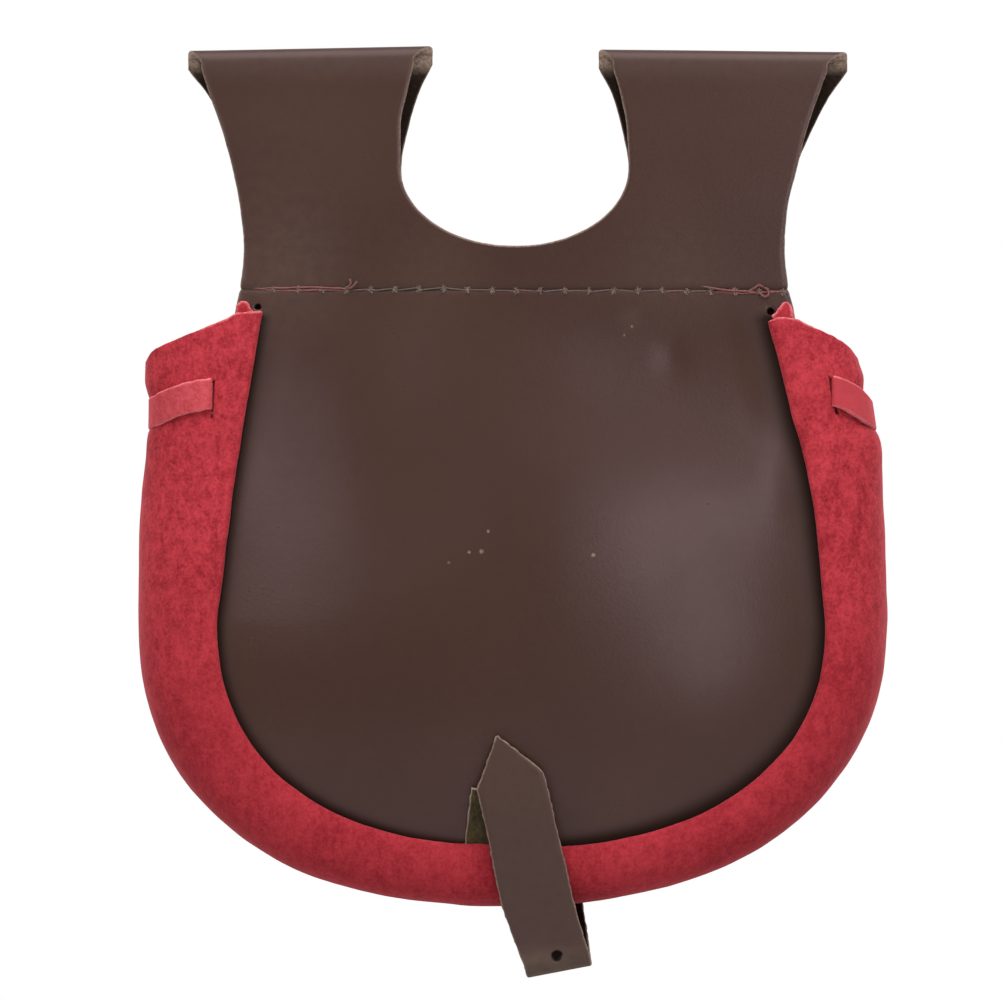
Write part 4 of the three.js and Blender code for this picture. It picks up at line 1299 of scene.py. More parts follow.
def allowance_hide(side):
    """The turned seam allowance of the suede, which stands out above its corner and tucks in behind it."""
    tops = through(ALLOWANCE_TOPS[side], "z", "x")
    ends = [row["x"] for row in ALLOWANCE_TOPS[side]]
    x = np.linspace(min(ends), max(ends), ALLOWANCE["columns"])
    share = np.linspace(0, 1, ALLOWANCE["rows"])[:, None]
    ragged = lumps(np.stack([x, 0 * x, 0 * x], axis=-1), "allowance_top")
    z = lerp(tops(x) + ragged, ALLOWANCE_FLOOR, share)
    narrow = max(ends) - ALLOWANCE_NARROW["share"] * (max(ends) - x)
    across = lerp(x, narrow, smooth(share / ALLOWANCE_NARROW["length"])) + ALLOWANCE["lean"] * share
    face = -CLOSED_LAYER - LEATHER / 2 - SEAT - SUEDE / 2
    y = face + ALLOWANCE_SINK["depth"] * smooth(share / ALLOWANCE_SINK["length"]) + 0 * z
    grid = np.stack([SIGN[side] * across, y, z], axis=-1)
    hide = Hide()
    hide.cover(hide.lay(grid if side == "right" else grid[:, ::-1])[::-1])
    hide.pressed(lumps(hide.points, "allowance"))
    return hide


# How finely the drawstring is laid: its run inside the back, along the wall and in its tail, and across
INSIDE_RUN = {"start": 0.02, "end": 0.95, "points": 30}
WALL_POINTS = 1400
TAIL_POINTS = 50
LACE_COLUMNS = 9
LACE_EASE = {"points": 2, "normals": 12}


def lace_inside(side):
    """The drawstring behind the back, from the middle to its first slit, where it comes straight out."""
    start = slit_places(side)[0]
    z = float(lace_height(side, start))
    y = -CLOSED_LAYER + LEATHER / 2 + LACE_STAND + LACE_THICK
    edge = float(near_edge["outer_" + side](z))
    wall = bag_point(side, start, z)
    outwards = np.array([SIGN[side], 0, 0])
    shares = np.linspace(INSIDE_RUN["start"], INSIDE_RUN["end"], INSIDE_RUN["points"])
    places = [np.array([SIGN[side] * edge * share, y, z]) for share in shares]
    for aside, depth in SLIT_BEND:
        places.append(wall + outwards * aside + np.array([0, depth, 0]))
    return np.array(places), np.tile([0.0, -1.0, 0.0], (len(places), 1))


def lace_along_wall(side):
    """The drawstring in and out of its slits round the mouth."""
    start, *others = slit_places(side)
    run = np.linspace(start, others[-1] + RUN_PAST_SLIT, WALL_POINTS)
    heights = lace_height(side, run)
    points = bag_point(side, run, heights)
    arcs = run_lengths(points)
    doors = np.interp(others, run, arcs)
    threading = np.prod([1 - 2 * smooth((arcs - door) / SLIT_PASSAGE + 0.5) for door in doors], axis=0)
    stand = (SUEDE + LACE_THICK) / 2 + LACE_STAND
    normals = bag_normal(side, run, heights)
    places = points + normals * (stand * threading)[:, None]
    wanted = np.arange(RUN_START, arcs[-1], RUN_STEP)
    kept = np.searchsorted(arcs, wanted)
    return places[kept], normals[kept]


def lace_tail(side):
    """The drawstring's tail under the flap."""
    rows = [{**row, "at": number} for number, row in enumerate(LACE_TAIL)]
    fine = np.linspace(0, len(rows) - 1, TAIL_POINTS)
    x, z = (through(rows, name, "at")(fine) for name in "xz")
    u = front_place(side, x, z)
    normals = bag_normal(side, u, z)
    reach = (SUEDE + LACE_THICK) / 2 + LACE_STAND + TAIL_STAND
    return bag_point(side, u, z) + normals * reach, normals


def eased(points, rounds):
    """A line of points with its corners eased, its ends kept."""
    for _ in range(rounds):
        points = np.concatenate([points[:1], (points[:-2] + 2 * points[1:-1] + points[2:]) / 4, points[-1:]])
    return points


def evenly(points, values, step):
    """Points at even steps along a line, and the values that go with them."""
    arcs = run_lengths(points)
    wanted = np.linspace(0, arcs[-1], int(arcs[-1] / step) + 1)
    spots = [np.interp(wanted, arcs, column) for column in (*points.T, *values.T)]
    return np.array(spots[:3]).T, np.array(spots[3:]).T


# The lace stands upright where it runs level, and lies across its run where it is steeper than this
UP = np.array([0.0, 0.0, 1.0])
STEEP_LACE = 0.7


def lace_hide(sizes):
    """The flat suede drawstring from tail to tail."""
    halves = []
    for side in SIGN:
        parts = [lace_inside(side), lace_along_wall(side), lace_tail(side)]
        halves.append([np.concatenate(column) for column in zip(*parts)])
    points = np.concatenate([halves[0][0][::-1], halves[1][0]])
    normals = np.concatenate([halves[0][1][::-1], halves[1][1]])
    points = eased(points, LACE_EASE["points"])
    points, normals = evenly(points, eased(normals, LACE_EASE["normals"]), RUN_STEP)
    along = unit(np.gradient(points, axis=0))
    across = unit(np.cross(unit(normals), along))
    upright = unit(UP - normals * (normals @ UP)[:, None])
    upright = upright * np.sign(np.sum(upright * across, axis=1))[:, None]
    level = smooth((STEEP_LACE - np.abs(along @ UP)) / STEEP_LACE)[:, None]
    across = unit(lerp(across, upright, level))
    width = sizes.lace_width / MM * (1 + lumps(points, "lace_width"))
    hide, numbers = band_hide(points, across, width / 2 - sizes.suede_edge / MM, LACE_COLUMNS)
    hide.cover(numbers)
    return hide


def band_hide(points, across, half, columns):
    """A flat band laid along a line, so wide to each side, and the numbers of its points."""
    shares = np.linspace(-1, 1, columns)
    reach = np.multiply.outer(half, shares)[..., None]
    hide = Hide()
    numbers = hide.lay(points[:, None] + across[:, None] * reach)
    return hide, numbers


def flap_depth(x, z, off):
    """How far the flap stands out, hanging from the seam and bending over the mouth."""
    height = np.minimum(z, MOUTH_SIDE)
    front = np.empty(np.broadcast(x, z).shape)
    for side, sign in SIGN.items():
        on_side = np.broadcast_to(np.where(x < 0, -1, 1) == sign, front.shape)
        depth = plain_bag_point(side, front_place(side, x, height), height)[..., 1]
        front = np.where(on_side, depth, front)
    seated = CLOSED_LAYER + LEATHER + SEAT
    return lerp(seated, front + off, smooth((FLAP_BEND - z) / FLAP_DROP))


# How finely the flap, the strap and its tab are laid
FLAP_COLUMNS = 100
FLAP_ROWS = {"step": 1.1, "floor": 56, "lowest": 0.97}
STRAP_POINTS = 260
STRAP_COLUMNS = 17
STRAP_TIP = 0.1
HOLE_CELLS = 3
TAB_POINTS = 40
TAB_COLUMNS = 15


def flap_hide(sizes):
    """The front flap."""
    inset = sizes.leather_edge / MM
    upper = [*np.arange(FLAP_TOP - inset, FLAP_WAIST, -FLAP_ROWS["step"]), FLAP_WAIST]
    lower = rounded_heights(FLAP_ROWS["floor"], FLAP_WAIST, FLAP_FLOOR, FLAP_ROWS["lowest"])[1:]
    z = np.array([*upper, *lower])[:, None]
    half = through(FLAP_SECTIONS, "half")(z) * rounded(z, FLAP_WAIST, FLAP_FLOOR) - inset
    x = half * np.linspace(-1, 1, FLAP_COLUMNS + 1)
    y = flap_depth(x, z, through(FLAP_SECTIONS, "off")(z))
    hide = Hide()
    hide.cover(hide.lay(np.stack([x, y, z + 0 * x], axis=-1)))
    hide.pressed(lumps(hide.points, "flap"))
    return hide


def stations(rows, count):
    """Places along a smooth line through a table, and the way across a band there."""
    places = np.array([[row["x"], row["y"], row["z"]] for row in rows], float)
    lean = np.radians([row["lean"] for row in rows])
    padded = np.concatenate([2 * places[:1] - places[1:2], places, 2 * places[-1:] - places[-2:-1]])
    share = np.linspace(0, len(rows) - 1, count)
    i = np.minimum(share.astype(int), len(rows) - 2)
    t = (share - i)[:, None]
    p0, p1, p2, p3 = padded[i], padded[i + 1], padded[i + 2], padded[i + 3]
    points = 0.5 * (2 * p1 + (p2 - p0) * t + (2 * p0 - 5 * p1 + 4 * p2 - p3) * t**2
                    + (3 * p1 - p0 - 3 * p2 + p3) * t**3)
    turn = np.interp(share, np.arange(len(rows)), lean)[:, None]
    points, turn = evenly(points, turn, np.linalg.norm(np.diff(points, axis=0), axis=1).mean())
    turn = turn[:, 0]
    across = np.stack([np.cos(turn), np.zeros_like(turn), np.sin(turn)], axis=-1)
    return points, across


def strap_hide(sizes):
    """The closing strap with its pointed end and its hole."""
    points, across = stations(STRAP_STATIONS, STRAP_POINTS)
    from_tip = np.linalg.norm(points - points[-1], axis=1)
    pointed = np.where(points[:, 1] < 0, np.minimum(from_tip / STRAP_POINT, 1), 1)
    along = run_lengths(points[::-1])[::-1]
    width = sizes.strap_width / MM * through(STRAP_SHARES, "share", "along")(along)
    half = (width / 2 - sizes.leather_edge / MM) * pointed + lumps(points, "strap_width")
    hide, numbers = band_hide(points, across, np.maximum(half, STRAP_TIP), STRAP_COLUMNS)
    cut_out = np.zeros(np.array(numbers.shape) - 1, bool)
    holed = np.flatnonzero((points[:, 1] < -LEATHER) & (points[:, 2] > HOLE_HEIGHT))[0]
    centre = points[holed] + across[holed] * HOLE_ASIDE
    hide.punch(numbers, cut_out, centre, STRAP_HOLE / 2 + sizes.leather_edge / MM, HOLE_CELLS)
    hide.cover(numbers, cut_out)
    return hide


def tab_hide(sizes):
    """The short tab that holds the strap, flesh side out."""
    points, across = stations(TAB_STATIONS, TAB_POINTS)
    half = sizes.tab_width / MM / 2 - sizes.leather_edge / MM + lumps(points, "tab_width")
    hide, numbers = band_hide(points, across, half, TAB_COLUMNS)
    hide.cover(numbers)
    hide.pressed(lumps(hide.points, "tab"))
    return hide


def socket(tree, name, kind, default=None):
    """A named input of a node group."""
    made = tree.interface.new_socket(name, in_out="INPUT", socket_type=kind)
    if default is not None:
        made.default_value = default
    return made


# A ply of the thread and a loose fibre, their radius and reach as shares of the thread's thickness
PLY = {"radius": 0.29, "reach": 0.24, "sides": 6}
FIBRE = {"radius": 0.1, "sides": 3, "points": 4, "bend": 0.6, "rise": 0.3, "shortest": 0.35}

# A stitch: points along it, how deep its ends sink for the thread's thickness, and how uneven its size is
STITCH_POINTS = 14
STITCH_SINK = 0.2
STITCH_SIZES = {"least": (0.9, 0.85, 0.7), "most": (1.06, 1.15, 1.3)}

# The thread's twist, lift, tufts and doubled runs for its thickness, and the fibres at each hole
SEWING = {"twist": 2.2, "lift": 0.45, "tuft": 2.2, "doubled": 1.4, "fibres": 84}


def tube(tree, line, group, shape):
    """A closed tube along a line, as thick as a share of the thread."""
    circle = {"Resolution": shape["sides"], "Radius": times(tree, group["Thread"], shape["radius"])}
    ring = node(tree, "GeometryNodeCurvePrimitiveCircle", circle).outputs[0]
    swept = {"Curve": line, "Profile Curve": ring, "Fill Caps": True}
    return node(tree, "GeometryNodeCurveToMesh", swept).outputs[0]


def thread_ply(tree, line, group, phase):
    """One ply of a twisted thread along a line of the group."""
    gone = node(tree, "GeometryNodeSplineParameter").outputs["Length"]
    turns = maths(tree, "DIVIDE", gone, group["Twist"])
    angle = maths(tree, "ADD", times(tree, turns, 2 * math.pi), phase)
    reach = times(tree, group["Thread"], PLY["reach"])
    normal = node(tree, "GeometryNodeInputNormal").outputs[0]
    tangent = node(tree, "GeometryNodeInputTangent").outputs[0]
    side = vector_maths(tree, "CROSS_PRODUCT", {0: normal, 1: tangent})
    shifts = []
    for axis, function in ((normal, "COSINE"), (side, "SINE")):
        amount = times(tree, maths(tree, function, angle), reach)
        shifts.append(vector_maths(tree, "SCALE", {0: axis, "Scale": amount}))
    offset = vector_maths(tree, "ADD", {0: shifts[0], 1: shifts[1]})
    moved = node(tree, "GeometryNodeSetPosition", {"Geometry": line, "Offset": offset}).outputs[0]
    return tube(tree, moved, group, PLY)


def two_plies(tree, line, group):
    """Two plies twisted round each other along a line."""
    joined = tree.nodes.new("GeometryNodeJoinGeometry")
    for phase in (0.0, math.pi):
        tree.links.new(thread_ply(tree, line, group, phase), joined.inputs[0])
    return joined.outputs[0]


def thread_group(name):
    """A node group with the inputs that all threads share, and its geometry in and out."""
    tree = bpy.data.node_groups.new(name, "GeometryNodeTree")
    tree.interface.new_socket("Geometry", in_out="INPUT", socket_type="NodeSocketGeometry")
    tree.interface.new_socket("Geometry", in_out="OUTPUT", socket_type="NodeSocketGeometry")
    socket(tree, "Thread", "NodeSocketFloat", 0.0008)
    socket(tree, "Twist", "NodeSocketFloat", 0.0018)
    socket(tree, "Material", "NodeSocketMaterial")
    return tree


def finish_group(tree, group, made):
    """Ends a group in real geometry with its material."""
    real = node(tree, "GeometryNodeRealizeInstances", {0: made}).outputs[0]
    painted = {"Geometry": real, "Material": group["Material"]}
    painted = node(tree, "GeometryNodeSetMaterial", painted).outputs[0]
    smooth_faces = node(tree, "GeometryNodeSetShadeSmooth", {"Geometry": painted}).outputs[0]
    node(tree, "NodeGroupOutput", {0: smooth_faces})


# Sockets of a random number
RANDOM_LOW, RANDOM_HIGH, RANDOM_RESULT = 2, 3, 1


def random_vector(tree, low, high, seed):
    """A random vector between two others."""
    inputs = {"Min": low, "Max": high, "Seed": seed}
    return node(tree, "FunctionNodeRandomValue", inputs, data_type="FLOAT_VECTOR").outputs[0]


def way_out(tree):
    """The way out of the leather at a point of a seam."""
    return node(tree, "GeometryNodeInputNamedAttribute", {"Name": "out"}, data_type="FLOAT_VECTOR").outputs[0]


def tufts(tree, spots, group):
    """Short fibres that stand every way out of each hole, half a stitch on from each spot."""
    ahead = times(tree, group["Pitch"], 0.5)
    shift = vector_maths(tree, "SCALE", {0: spots.outputs["Tangent"], "Scale": ahead})
    rise = vector_maths(tree, "SCALE", {0: way_out(tree), "Scale": group["Lift"]})
    moved = {"Geometry": spots.outputs["Points"], "Offset": vector_maths(tree, "ADD", {0: shift, 1: rise})}
    moved = node(tree, "GeometryNodeSetPosition", moved).outputs[0]
    many = {"Geometry": moved, "Amount": group["Fibres"]}
    roots = node(tree, "GeometryNodeDuplicateElements", many, domain="POINT").outputs[0]
    bend = vector(tree, times(tree, group["Tuft"], FIBRE["bend"]))
    end = vector(tree, group["Tuft"], times(tree, group["Tuft"], FIBRE["rise"]))
    arc = {"Resolution": FIBRE["points"], "Start": (0, 0, 0), "Middle": bend, "End": end}
    line = node(tree, "GeometryNodeCurveQuadraticBezier", arc).outputs[0]
    fluffed = {"Geometry": tube(tree, line, group, FIBRE), "Name": "fluff", "Value": 1.0}
    fibre = node(tree, "GeometryNodeStoreNamedAttribute", fluffed).outputs[0]
    turned = random_vector(tree, (-math.pi,) * 3, (math.pi,) * 3, group["Seed"])
    rotation = node(tree, "FunctionNodeEulerToRotation", {0: turned}).outputs[0]
    lengths = {RANDOM_LOW: FIBRE["shortest"], RANDOM_HIGH: 1.0, "Seed": group["Seed"]}
    scale = node(tree, "FunctionNodeRandomValue", lengths, data_type="FLOAT").outputs[RANDOM_RESULT]
    placing = {"Points": roots, "Instance": fibre, "Rotation": rotation, "Scale": scale}
    return node(tree, "GeometryNodeInstanceOnPoints", placing).outputs[0]


def stitch_tree():
    """Hand stitches along a seam: a twisted thread from hole to hole, and a tuft of fibres at each hole."""
    tree = thread_group("hand_stitches")
    socket(tree, "Stitch", "NodeSocketFloat", 0.005)
    socket(tree, "Pitch", "NodeSocketFloat", 0.006)
    socket(tree, "Lift", "NodeSocketFloat", 0.0004)
    socket(tree, "Wander", "NodeSocketFloat", 0.12)
    socket(tree, "Tuft", "NodeSocketFloat", 0.0012)
    socket(tree, "Fibres", "NodeSocketInt", 14)
    socket(tree, "Seed", "NodeSocketInt", 1)
    group = node(tree, "NodeGroupInput").outputs
    seam = node(tree, "GeometryNodeMeshToCurve", {0: group["Geometry"]}).outputs[0]
    spots = node(tree, "GeometryNodeCurveToPoints", {"Curve": seam, "Length": group["Pitch"]}, mode="LENGTH")
    half = times(tree, group["Stitch"], 0.5)
    sink = times(tree, group["Thread"], -STITCH_SINK)
    start = vector(tree, times(tree, half, -1.0), z=sink)
    end = vector(tree, half, z=sink)
    top = vector(tree, z=times(tree, group["Lift"], 2.0))
    arc = {"Resolution": STITCH_POINTS, "Start": start, "Middle": top, "End": end}
    line = node(tree, "GeometryNodeCurveQuadraticBezier", arc).outputs[0]
    along = node(tree, "FunctionNodeAlignRotationToVector", {"Vector": spots.outputs["Tangent"]}, axis="X")
    facing = {"Rotation": along.outputs[0], "Vector": way_out(tree)}
    upright = node(tree, "FunctionNodeAlignRotationToVector", facing, axis="Z", pivot_axis="X").outputs[0]
    limit = vector(tree, z=group["Wander"])
    other = vector(tree, z=times(tree, group["Wander"], -1.0))
    turned = random_vector(tree, other, limit, group["Seed"])
    twist = node(tree, "FunctionNodeEulerToRotation", {0: turned}).outputs[0]
    turn = {"Rotation": upright, "Rotate By": twist}
    rotation = node(tree, "FunctionNodeRotateRotation", turn, rotation_space="LOCAL").outputs[0]
    scale = random_vector(tree, STITCH_SIZES["least"], STITCH_SIZES["most"], group["Seed"])
    stitch = two_plies(tree, line, group)
    placing = {"Points": spots.outputs["Points"], "Instance": stitch, "Rotation": rotation, "Scale": scale}
    stitches = node(tree, "GeometryNodeInstanceOnPoints", placing).outputs[0]
    joined = tree.nodes.new("GeometryNodeJoinGeometry")
    tree.links.new(stitches, joined.inputs[0])
    tree.links.new(tufts(tree, spots, group), joined.inputs[0])
    finish_group(tree, group, joined.outputs[0])
    return tree


def strand_tree():
    """A loose end of twisted thread that follows a path."""
    tree = thread_group("loose_thread")
    group = node(tree, "NodeGroupInput").outputs
    path = node(tree, "GeometryNodeMeshToCurve", {0: group["Geometry"]}).outputs[0]
    finish_group(tree, group, two_plies(tree, path, group))
    return tree


def path_object(name, lines, outs=None):
    """A mesh of bare lines in metres, each point with the way out of what it lies on."""
    mesh = bpy.data.meshes.new(name)
    points = np.concatenate(lines) * MM
    starts = np.cumsum([0, *(len(line) for line in lines)])
    edges = [(i, i + 1) for a, b in zip(starts, starts[1:]) for i in range(a, b - 1)]
    mesh.from_pydata(points.tolist(), edges, [])
    if outs is not None:
        ways = mesh.attributes.new("out", "FLOAT_VECTOR", "POINT")
        ways.data.foreach_set("vector", np.concatenate(outs).astype(np.float32).ravel())
    made = bpy.data.objects.new(name, mesh)
    bpy.context.scene.collection.objects.link(made)
    return made


def worked(made, tree, inputs):
    """Runs a node group on an object and keeps the result as its plain mesh."""
    modifier = made.modifiers.new(tree.name, "NODES")
    modifier.node_group = tree
    for item in tree.interface.items_tree:
        if item.item_type == "SOCKET" and item.in_out == "INPUT" and item.name in inputs:
            modifier[item.identifier] = inputs[item.name]
    depsgraph = bpy.context.evaluated_depsgraph_get()
    mesh = bpy.data.meshes.new_from_object(made.evaluated_get(depsgraph))
    made.modifiers.clear()
    bare = made.data
    made.data = mesh
    bpy.data.meshes.remove(bare)
    if not mesh.polygons:
        raise RuntimeError(f"{made.name} came out empty")
    return made


# The seam's line across the back, a little uneven by hand, and how finely it is laid
SEAM_LINE = table(
    "x z",
    (-63.2, -58.3), (-40, -58.6), (-20, -58.3), (0, -58.8), (25, -58.8), (45, -58.9), (64, -59),
)
SEAM_POINTS = 200

# The same seam on the flap
FRONT_SEAM = {"half": 63, "points": 160}


def back_face(z, sizes):
    """The outer face of the back above the panel's swell, at the seam."""
    return -layer_offset(z) - sizes.leather / MM / 2 + GROOVE["deep"]


def seam_line(sizes):
    """The seam across the back, and the way out of the leather there."""
    x = np.linspace(SEAM_LINE[0]["x"], SEAM_LINE[-1]["x"], SEAM_POINTS)
    z = through(SEAM_LINE, "z", "x")(x)
    points = np.stack([x, back_face(z, sizes), z], axis=-1)
    return points, np.tile([0.0, -1.0, 0.0], (len(x), 1))


def front_seam_line(sizes):
    """The same seam where it shows on the flap."""
    x = np.linspace(-FRONT_SEAM["half"], FRONT_SEAM["half"], FRONT_SEAM["points"])
    z = np.full_like(x, SEAM)
    y = flap_depth(x, z, through(FLAP_SECTIONS, "off")(z)) + sizes.leather / MM / 2
    return np.stack([x, y, z], axis=-1), np.tile([0.0, 1.0, 0.0], (len(x), 1))


# The stitched square on the strap: how far down the strap it starts and ends, and its distance from the edges
BOX_STITCH = {"top": 3, "bottom": 20, "inset": 3, "points": 12}


def box_stitch_lines(sizes):
    """The square of stitches that holds the strap to the flap."""
    points, across = stations(STRAP_STATIONS, STRAP_POINTS)
    along = unit(np.gradient(points, axis=0))
    out = unit(np.cross(across, along))
    half_width = sizes.strap_width / MM / 2 - BOX_STITCH["inset"]
    half_stitch = sizes.stitch / MM / 2
    surface = points + out * (sizes.leather / MM / 2)
    gone = run_lengths(points)
    first, last = (int(np.searchsorted(gone, BOX_STITCH[end])) for end in ("top", "bottom"))
    side = (gone > gone[first] + half_stitch) & (gone < gone[last] - half_stitch)
    lines = [surface[side] + across[side] * half_width * way for way in (-1, 1)]
    outs = [out[side], out[side]]
    spread = np.linspace(half_stitch - half_width, half_width - half_stitch, BOX_STITCH["points"])[:, None]
    for end in (first, last):
        lines.append(surface[end] + across[end] * spread)
        outs.append(np.tile(out[end], (BOX_STITCH["points"], 1)))
    return lines, outs


# Loose thread on the back: doubled runs at both ends of the seam, ends that stand up and a knot's loop
LOOSE_ENDS = [
    table("x y z", (-63.2, 0.1, -58), (-58, -0.3, -58.1), (-52, -0.35, -57.9), (-46, -0.4, -58.1),
          (-41.6, -0.2, -58.3)),
    table("x y z", (-62, 0.1, -58.7), (-55, -0.2, -58.8), (-48, -0.25, -58.6), (-42, 0, -58.8)),
    table("x y z", (50, 0.1, -59.2), (56, -0.3, -59.4), (62, -0.3, -59.2), (66.6, 0.1, -59)),
    table("x y z", (-42.4, 0.2, -58.6), (-41.6, -0.6, -57.9), (-41.0, -1.0, -56.9), (-41.2, -0.9, -55.9)),
    table("x y z", (-41.6, -0.2, -58.4), (-40.8, -0.9, -58.0), (-40.0, -0.8, -57.2), (-39.4, -0.6, -56.5)),
    table("x y z", (46.2, 0.2, -57.6), (49, -0.4, -58.1), (52.5, -0.5, -58.6), (57, -0.5, -58.9),
          (61, 0.2, -59)),
    table("x y z", (60.4, -0.3, -58.4), (61.3, -0.8, -59.6), (62.4, -0.9, -60.3), (63.3, -0.7, -59.6),
          (63.1, -0.5, -58.5), (62.2, -0.4, -58.1)),
    table("x y z", (58.6, 0.1, -58.8), (60, -0.6, -58), (61, -0.9, -57.4), (61.9, -0.6, -57.9)),
]
LOOSE_POINTS = 8


def loose_lines(sizes):
    """Lines of the loose thread, on the face of the back."""
    lines = []
    for ends in LOOSE_ENDS:
        rows = [{**row, "at": number} for number, row in enumerate(ends)]
        fine = np.linspace(0, len(rows) - 1, LOOSE_POINTS * len(rows))
        x, y, z = (through(rows, name, "at")(fine) for name in "xyz")
        lines.append(np.stack([x, y + back_face(z, sizes), z], axis=-1))
    return lines


# The picture: millimetres a pixel, and the pixel that the origin falls on
IMAGE_SIDE = 1001
PIXEL = 0.25
ORIGIN_PIXEL = (515, 56)
PICTURE_PLANE = 5
SENSOR = 36

# Soft boxes round the pouch: turn from the camera, rise, distance, size and power
SOFT_BOXES = table(
    "name turn rise away wide high power",
    ("right_box", 14.6, 5.1, 1.3, 0.12, 0.64, 1.95),
    ("left_box", -23, 8.8, 1.3, 0.4, 0.2, 1.15),
    ("top_box", 0, 58, 1.4, 1.6, 1.3, 20.6),
    ("left_side_box", -60, 38, 1.3, 0.5, 0.8, 5),
    ("right_side_box", 52, 40, 1.3, 0.5, 0.8, 6),
    ("front_left_box", -140, 20, 1.4, 0.7, 0.9, 7),
    ("front_right_box", 140, 20, 1.4, 0.7, 0.9, 7),
)
POUCH_MIDDLE = Vector((0, 0.01, -0.11))

# Rings of the floor from its middle to its soft edge, in metres, and the sides of each
FLOOR_RINGS = table("share drop", (0.02, 0), (0.5, 0), (0.97, 0), (0.99, 0.002), (1, 0.012))
FLOOR_SIDES = 96

# How far round from the camera the surround turns from weak to strong
SURROUND_TURN = {"near": -0.3, "far": 0.6}


def add_soft_box(row):
    """An area light turned to the pouch."""
    light = bpy.data.lights.new(row["name"], "AREA")
    light.shape = "RECTANGLE"
    light.size = row["wide"]
    light.size_y = row["high"]
    light.energy = row["power"]
    turn, rise = math.radians(row["turn"]), math.radians(row["rise"])
    back = Vector((math.sin(turn) * math.cos(rise), -math.cos(turn) * math.cos(rise), math.sin(rise)))
    made = bpy.data.objects.new(row["name"], light)
    made.location = POUCH_MIDDLE + back * row["away"]
    made.rotation_euler = back.to_track_quat("Z", "Y").to_euler()
    bpy.context.scene.collection.objects.link(made)


def add_camera(distance):
    """A long lens level with the middle of the pouch, straight at its back."""
    data = bpy.data.cameras.new("studio_camera")
    data.sensor_width = SENSOR
    data.lens = SENSOR * distance / (IMAGE_SIDE * PIXEL * MM)
    data.clip_end = 100
    made = bpy.data.objects.new("studio_camera", data)
    centre = IMAGE_SIDE / 2
    x = (centre - ORIGIN_PIXEL[0]) * PIXEL * MM
    z = (ORIGIN_PIXEL[1] - centre) * PIXEL * MM
    made.location = (x, PICTURE_PLANE * MM - distance, z)
    made.rotation_euler = (math.pi / 2, 0, 0)
    bpy.context.scene.collection.objects.link(made)
    bpy.context.scene.camera = made


def add_world(near, behind):
    """A white surround, whose own light is strong behind the pouch and weak round the camera."""
    world = bpy.data.worlds.new("studio")
    bpy.context.scene.world = world
    world.use_nodes = True
    tree = world.node_tree
    tree.nodes.clear()
    seen = node(tree, "ShaderNodeBackground", {"Color": (1, 1, 1, 1), "Strength": 1.0}).outputs[0]
    way = node(tree, "ShaderNodeTexCoord").outputs["Generated"]
    depth = node(tree, "ShaderNodeSeparateXYZ", {"Vector": way}).outputs["Y"]
    strength = ranged(tree, depth, SURROUND_TURN["near"], SURROUND_TURN["far"], near, behind)
    lit = node(tree, "ShaderNodeBackground", {"Color": (1, 1, 1, 1), "Strength": strength}).outputs[0]
    ray = node(tree, "ShaderNodeLightPath").outputs["Is Camera Ray"]
    both = node(tree, "ShaderNodeMixShader", {0: ray, 1: lit, 2: seen}).outputs[0]
    node(tree, "ShaderNodeOutputWorld", {"Surface": both})


def add_floor(depth, radius, material):
    """A round floor below the hanging pouch, with a soft edge."""
    turn = np.linspace(0, 2 * math.pi, FLOOR_SIDES + 1)[:-1]
    circle = np.stack([np.cos(turn), np.sin(turn)], axis=-1) * radius
    rings = []
    for row in FLOOR_RINGS:
        height = np.full((FLOOR_SIDES, 1), depth - row["drop"])
        rings.append(np.concatenate([circle * row["share"], height], axis=1))
    vertices = np.concatenate([*rings, [[0, 0, depth]]]) / MM
    number = np.arange(FLOOR_SIDES)
    after = np.roll(number, -1)
    middle = np.full(FLOOR_SIDES, len(rings) * FLOOR_SIDES)
    faces = [np.stack([number, after, middle, number], axis=-1)]
    for ring in range(len(rings) - 1):
        a, b = ring * FLOOR_SIDES, (ring + 1) * FLOOR_SIDES
        faces.append(np.stack([number + b, after + b, after + a, number + a], axis=-1))
    floor = piece("floor", vertices, np.concatenate(faces), {}, material)


def length_property(name, description, default, least, most):
    """A length that a maker would change, from its values in millimetres."""
    return FloatProperty(
        name=name, description=description, default=default * MM, min=least * MM, max=most * MM,
        unit="LENGTH", precision=5)


class PouchSizes(bpy.types.PropertyGroup):
    """Sizes that a maker would change."""

    leather: length_property("Leather", "Thickness of the brown leather", LEATHER, 1, 4)
    leather_edge: length_property("Leather Edge", "How far the leather's cut edges are rounded", 0.45, 0.1, 1)
    suede: length_property("Suede", "Thickness of the red suede", SUEDE, 0.6, 2)
    suede_edge: length_property("Suede Edge", "How far the suede's edges are rounded", 0.6, 0.1, 1)
    tab: length_property("Tab", "Thickness of the strap's tab", TAB_THICK, 1, 3)
    tab_width: length_property("Tab Width", "Width of the strap's tab", TAB_WIDTH, 10, 20)
    lace: length_property("Lace", "Thickness of the drawstring", LACE_THICK, 0.8, 2)
    lace_width: length_property("Lace Width", "Width of the drawstring", LACE_WIDTH, 4, 8.5)
    strap_width: length_property("Strap Width", "Width of the closing strap", STRAP_WIDTH, 12, 20)
    swell: length_property("Swell", "How far the back swells out in its middle", 6.8, 0, 7.5)
    thread: length_property("Thread", "Diameter of the sewing thread", 0.5, 0.3, 1.5)
    stitch: length_property("Stitch", "Length of one stitch", 5.6, 2, 10)
    pitch: length_property("Pitch", "Distance from stitch to stitch", 6, 3, 12)
    wander: FloatProperty(
        name="Wander", description="How far a stitch may turn from the seam",
        default=math.radians(7), min=0.0, max=math.radians(30), subtype="ANGLE")
    seed: IntProperty(name="Seed", description="Which uneven hand the stitches have", default=4, min=0)


